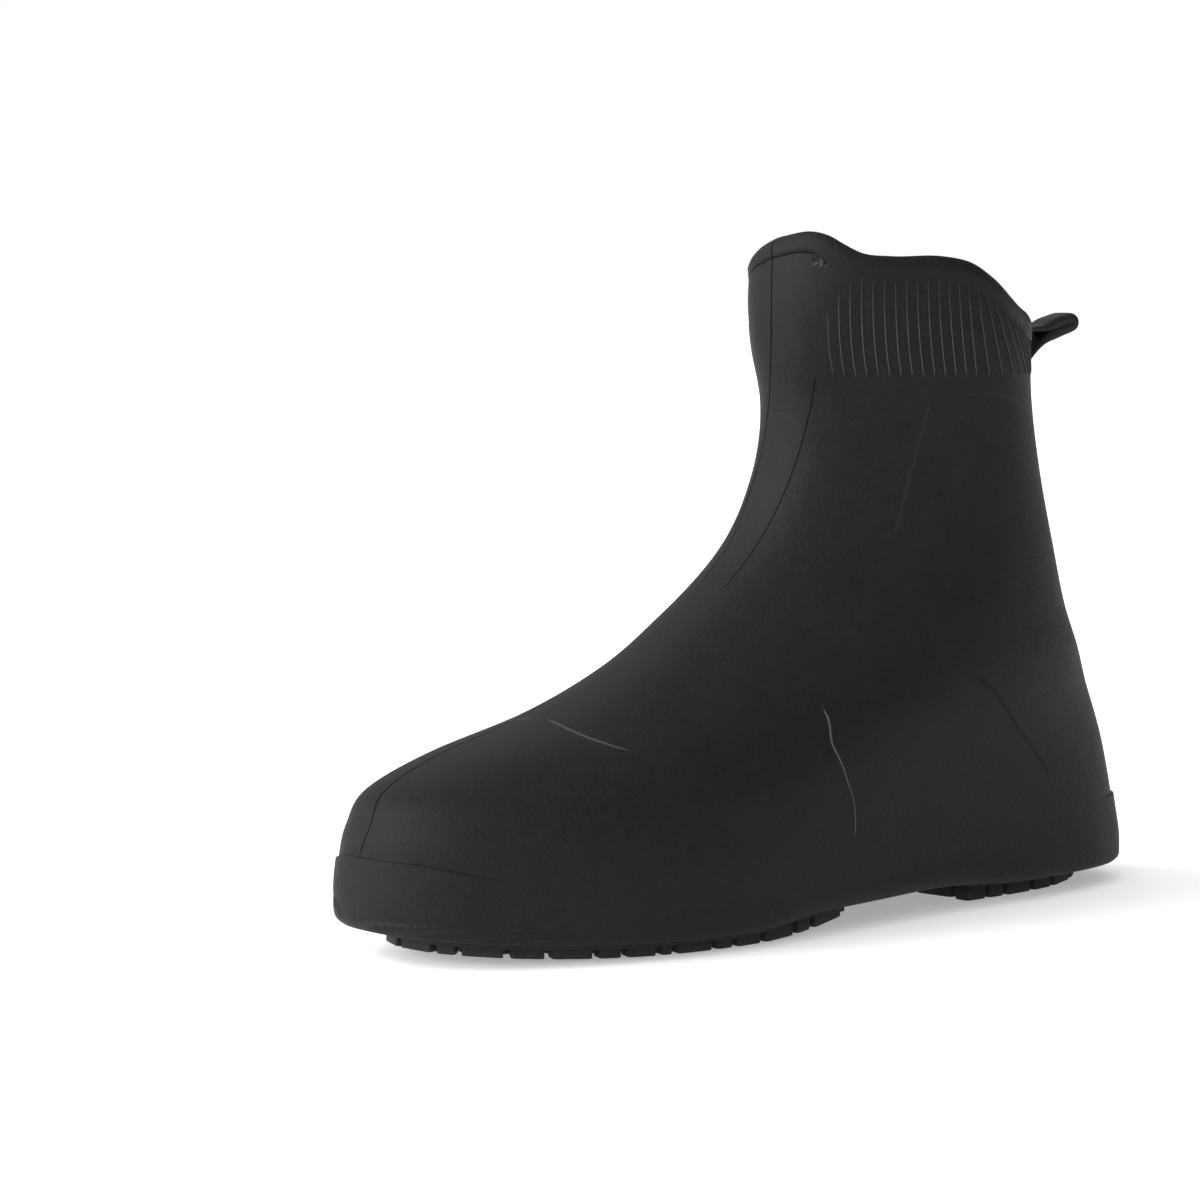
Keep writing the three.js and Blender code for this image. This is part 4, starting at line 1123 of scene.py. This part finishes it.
def middle_bars(rubber, pad):
    """Slanted pairs of bars across the middle of a pad, from its near end."""
    start, end = PADS[pad][0], pad_end(pad)
    forward = math.copysign(1, end - start)
    margin = CLEAT_WIDTH + CLEAT_GAP + BAR_MARGIN
    made, near = 0, CLEAT_GAP / 2
    while near + BAR_DEPTH < abs(end - start) - CLEAT_WIDTH - 2 * CLEAT_GAP:
        one, two = start + forward * near, start + forward * (near + BAR_DEPTH)
        left, right = (side * (np.min(side * pad_edge(pad, [one, two], side)) - margin) for side in (-1, 1))
        split = (left + right) / 2
        for low, high in ((left, split - CLEAT_GAP / 2), (split + CLEAT_GAP / 2, right)):
            if high - low >= CLEAT_GAP:
                slant = forward * BAR_SLANT * (-1 if low < split else 1)
                corners = [(low, one - slant), (high, one + slant), (high, two + slant), (low, two - slant)]
                add_cleat(rubber, pad, corners)
                made += 1
        near += BAR_DEPTH + CLEAT_GAP
    return made


print("Cleat lengths repeat after", len(CLEAT_LENGTHS))

# %% The two treads
WEB_ROWS, WEB_COLUMNS = 40, 9
# Above the sole's own level: the web's upper face, and where its thickness is measured down from.
WEB_TOP, WEB_SEAT = 0.25, -0.3
# How far the web goes towards the pad's pointed end.
WEB_TO = 0.985
for pad, node in (("forefoot", "outsole_forefoot"), ("heel", "outsole_heel")):
    rubber = Rubber()
    start, end = PADS[pad][0], pad_end(pad)
    web_along = start + (end - start) * np.sin(np.linspace(0, WEB_TO * math.pi / 2, WEB_ROWS))
    across = np.linspace(0, 1, WEB_COLUMNS)
    outer_edge, inner_edge = (pad_edge(pad, web_along, side)[:, None] for side in (1, -1))
    web_x = inner_edge + (outer_edge - inner_edge) * across
    web_y = np.broadcast_to(web_along[:, None], web_x.shape)
    top, low = (SOLE_LEVEL + lift_at(web_y) + lift for lift in (WEB_TOP, WEB_SEAT - TREAD_WEB))
    upper_face = rubber.grid(to_frame(web_x, web_y, top), flip=end > start)
    lower_face = rubber.grid(to_frame(web_x, web_y, low), flip=end < start)
    upper_rim, lower_rim = (
        np.concatenate([face[:, 0], face[-1, 1:], face[-2::-1, -1], face[0, -2:0:-1]])
        for face in (upper_face, lower_face)
    )
    rubber.bridge(upper_rim, lower_rim, flip=end > start)
    cleats = edge_cleats(rubber, pad, 1) + edge_cleats(rubber, pad, -1) + middle_bars(rubber, pad)
    tread = rubber.piece("tread_" + pad, tread_rubber)
    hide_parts(node)
    print("Cleats under the", pad, cleats)

# %% [markdown]
# ## The studio
# The photograph has a seamless white ground and one wide soft light from the left. The ground is a large
# white floor that glows a little, as one lit from below does, so that it stays white up to the shoe.
# The sky shows white to the camera and lights the rubber less than that. It could light evenly, but the
# photographed rubber is darker behind, so it is dimmer there and low down. A very wide sun from the left
# gives the long soft highlights and the faint shadow, and a weak one lifts the toe's outer side.

# %% The floor
FLOOR_GLOW, FLOOR_WHITE = 0.34, (0.88, 0.88, 0.88, 1)
# In metres: half the floor's side, and how far it lies below the cleats, so that no faces coincide.
FLOOR_HALF, FLOOR_BELOW = 40, 0.0003
floor_corners = [(FLOOR_HALF * x, FLOOR_HALF * y, 0) for x, y in ((-1, -1), (1, -1), (1, 1), (-1, 1))]
floor_mesh = bpy.data.meshes.new("floor")
floor_mesh.from_pydata(floor_corners, [], [(0, 1, 2, 3)])
floor = add_object("floor", floor_mesh)
floor.location.z = -FLOOR_BELOW
paper = Finish("studio_floor")
paper.set(
    Base_Color=FLOOR_WHITE,
    Roughness=0.9,
    Specular_IOR_Level=0.1,
    Emission_Color=(1, 1, 1, 1),
    Emission_Strength=FLOOR_GLOW,
)
floor_mesh.materials.append(paper.material)
floor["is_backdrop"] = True
print("Floor:", 2 * FLOOR_HALF, "m wide")

# %% The sky
# How bright the camera sees it, how bright and how dim it lights the rubber, and towards where it dims.
SKY_SEEN, SKY_BRIGHT, SKY_DIM = 1.0, 0.9, 0.05
DIM_SIDE = (0.45, 0.57, -0.69)
world = bpy.data.worlds.new("studio")
sky = Graph(world)
direction = sky.node("ShaderNodeTexCoord", output="Generated")
values = {0: direction, 1: DIM_SIDE}
dimness = sky.node("ShaderNodeVectorMath", {"operation": "DOT_PRODUCT"}, values, output="Value")
values = {"Value": dimness, "From Min": -1, "To Min": SKY_BRIGHT, "To Max": SKY_DIM}
light = sky.node("ShaderNodeMapRange", None, values)
seen = sky.node("ShaderNodeLightPath", output="Is Camera Ray")
strength = sky.node("ShaderNodeMapRange", None, {"Value": seen, "To Min": light, "To Max": SKY_SEEN})
background = sky.tree.nodes["Background"]
background.inputs["Color"].default_value = (1, 1, 1, 1)
sky.tree.links.new(strength.socket, background.inputs["Strength"])
bpy.context.scene.world = world
bpy.context.scene.view_settings.view_transform = "Standard"
print("Sky: seen", SKY_SEEN, "and lighting", SKY_BRIGHT, "down to", SKY_DIM)

# %% The suns
# Each sun: the direction towards it, its strength and how wide it is, in degrees.
LIGHTS = {
    "key": (Vector((-0.469, -0.84, 0.5)), 3.2, 50),
    "fill": (Vector((0.3, -0.92, 0.3)), 2.0, 70),
}
for name, (towards, energy, angle_deg) in LIGHTS.items():
    sun_data = bpy.data.lights.new(name, "SUN")
    sun_data.energy = energy
    sun_data.angle = math.radians(angle_deg)
    sun = add_object(name, sun_data)
    sun.rotation_euler = towards.to_track_quat("Z", "Y").to_euler()
    print(name, "from", [round(v, 2) for v in towards.normalized()])

# %% The sizes, and the end
low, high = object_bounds()
print("The visual model's box in mm:", [round(1000 * (top - bottom), 1) for bottom, top in zip(low, high)])
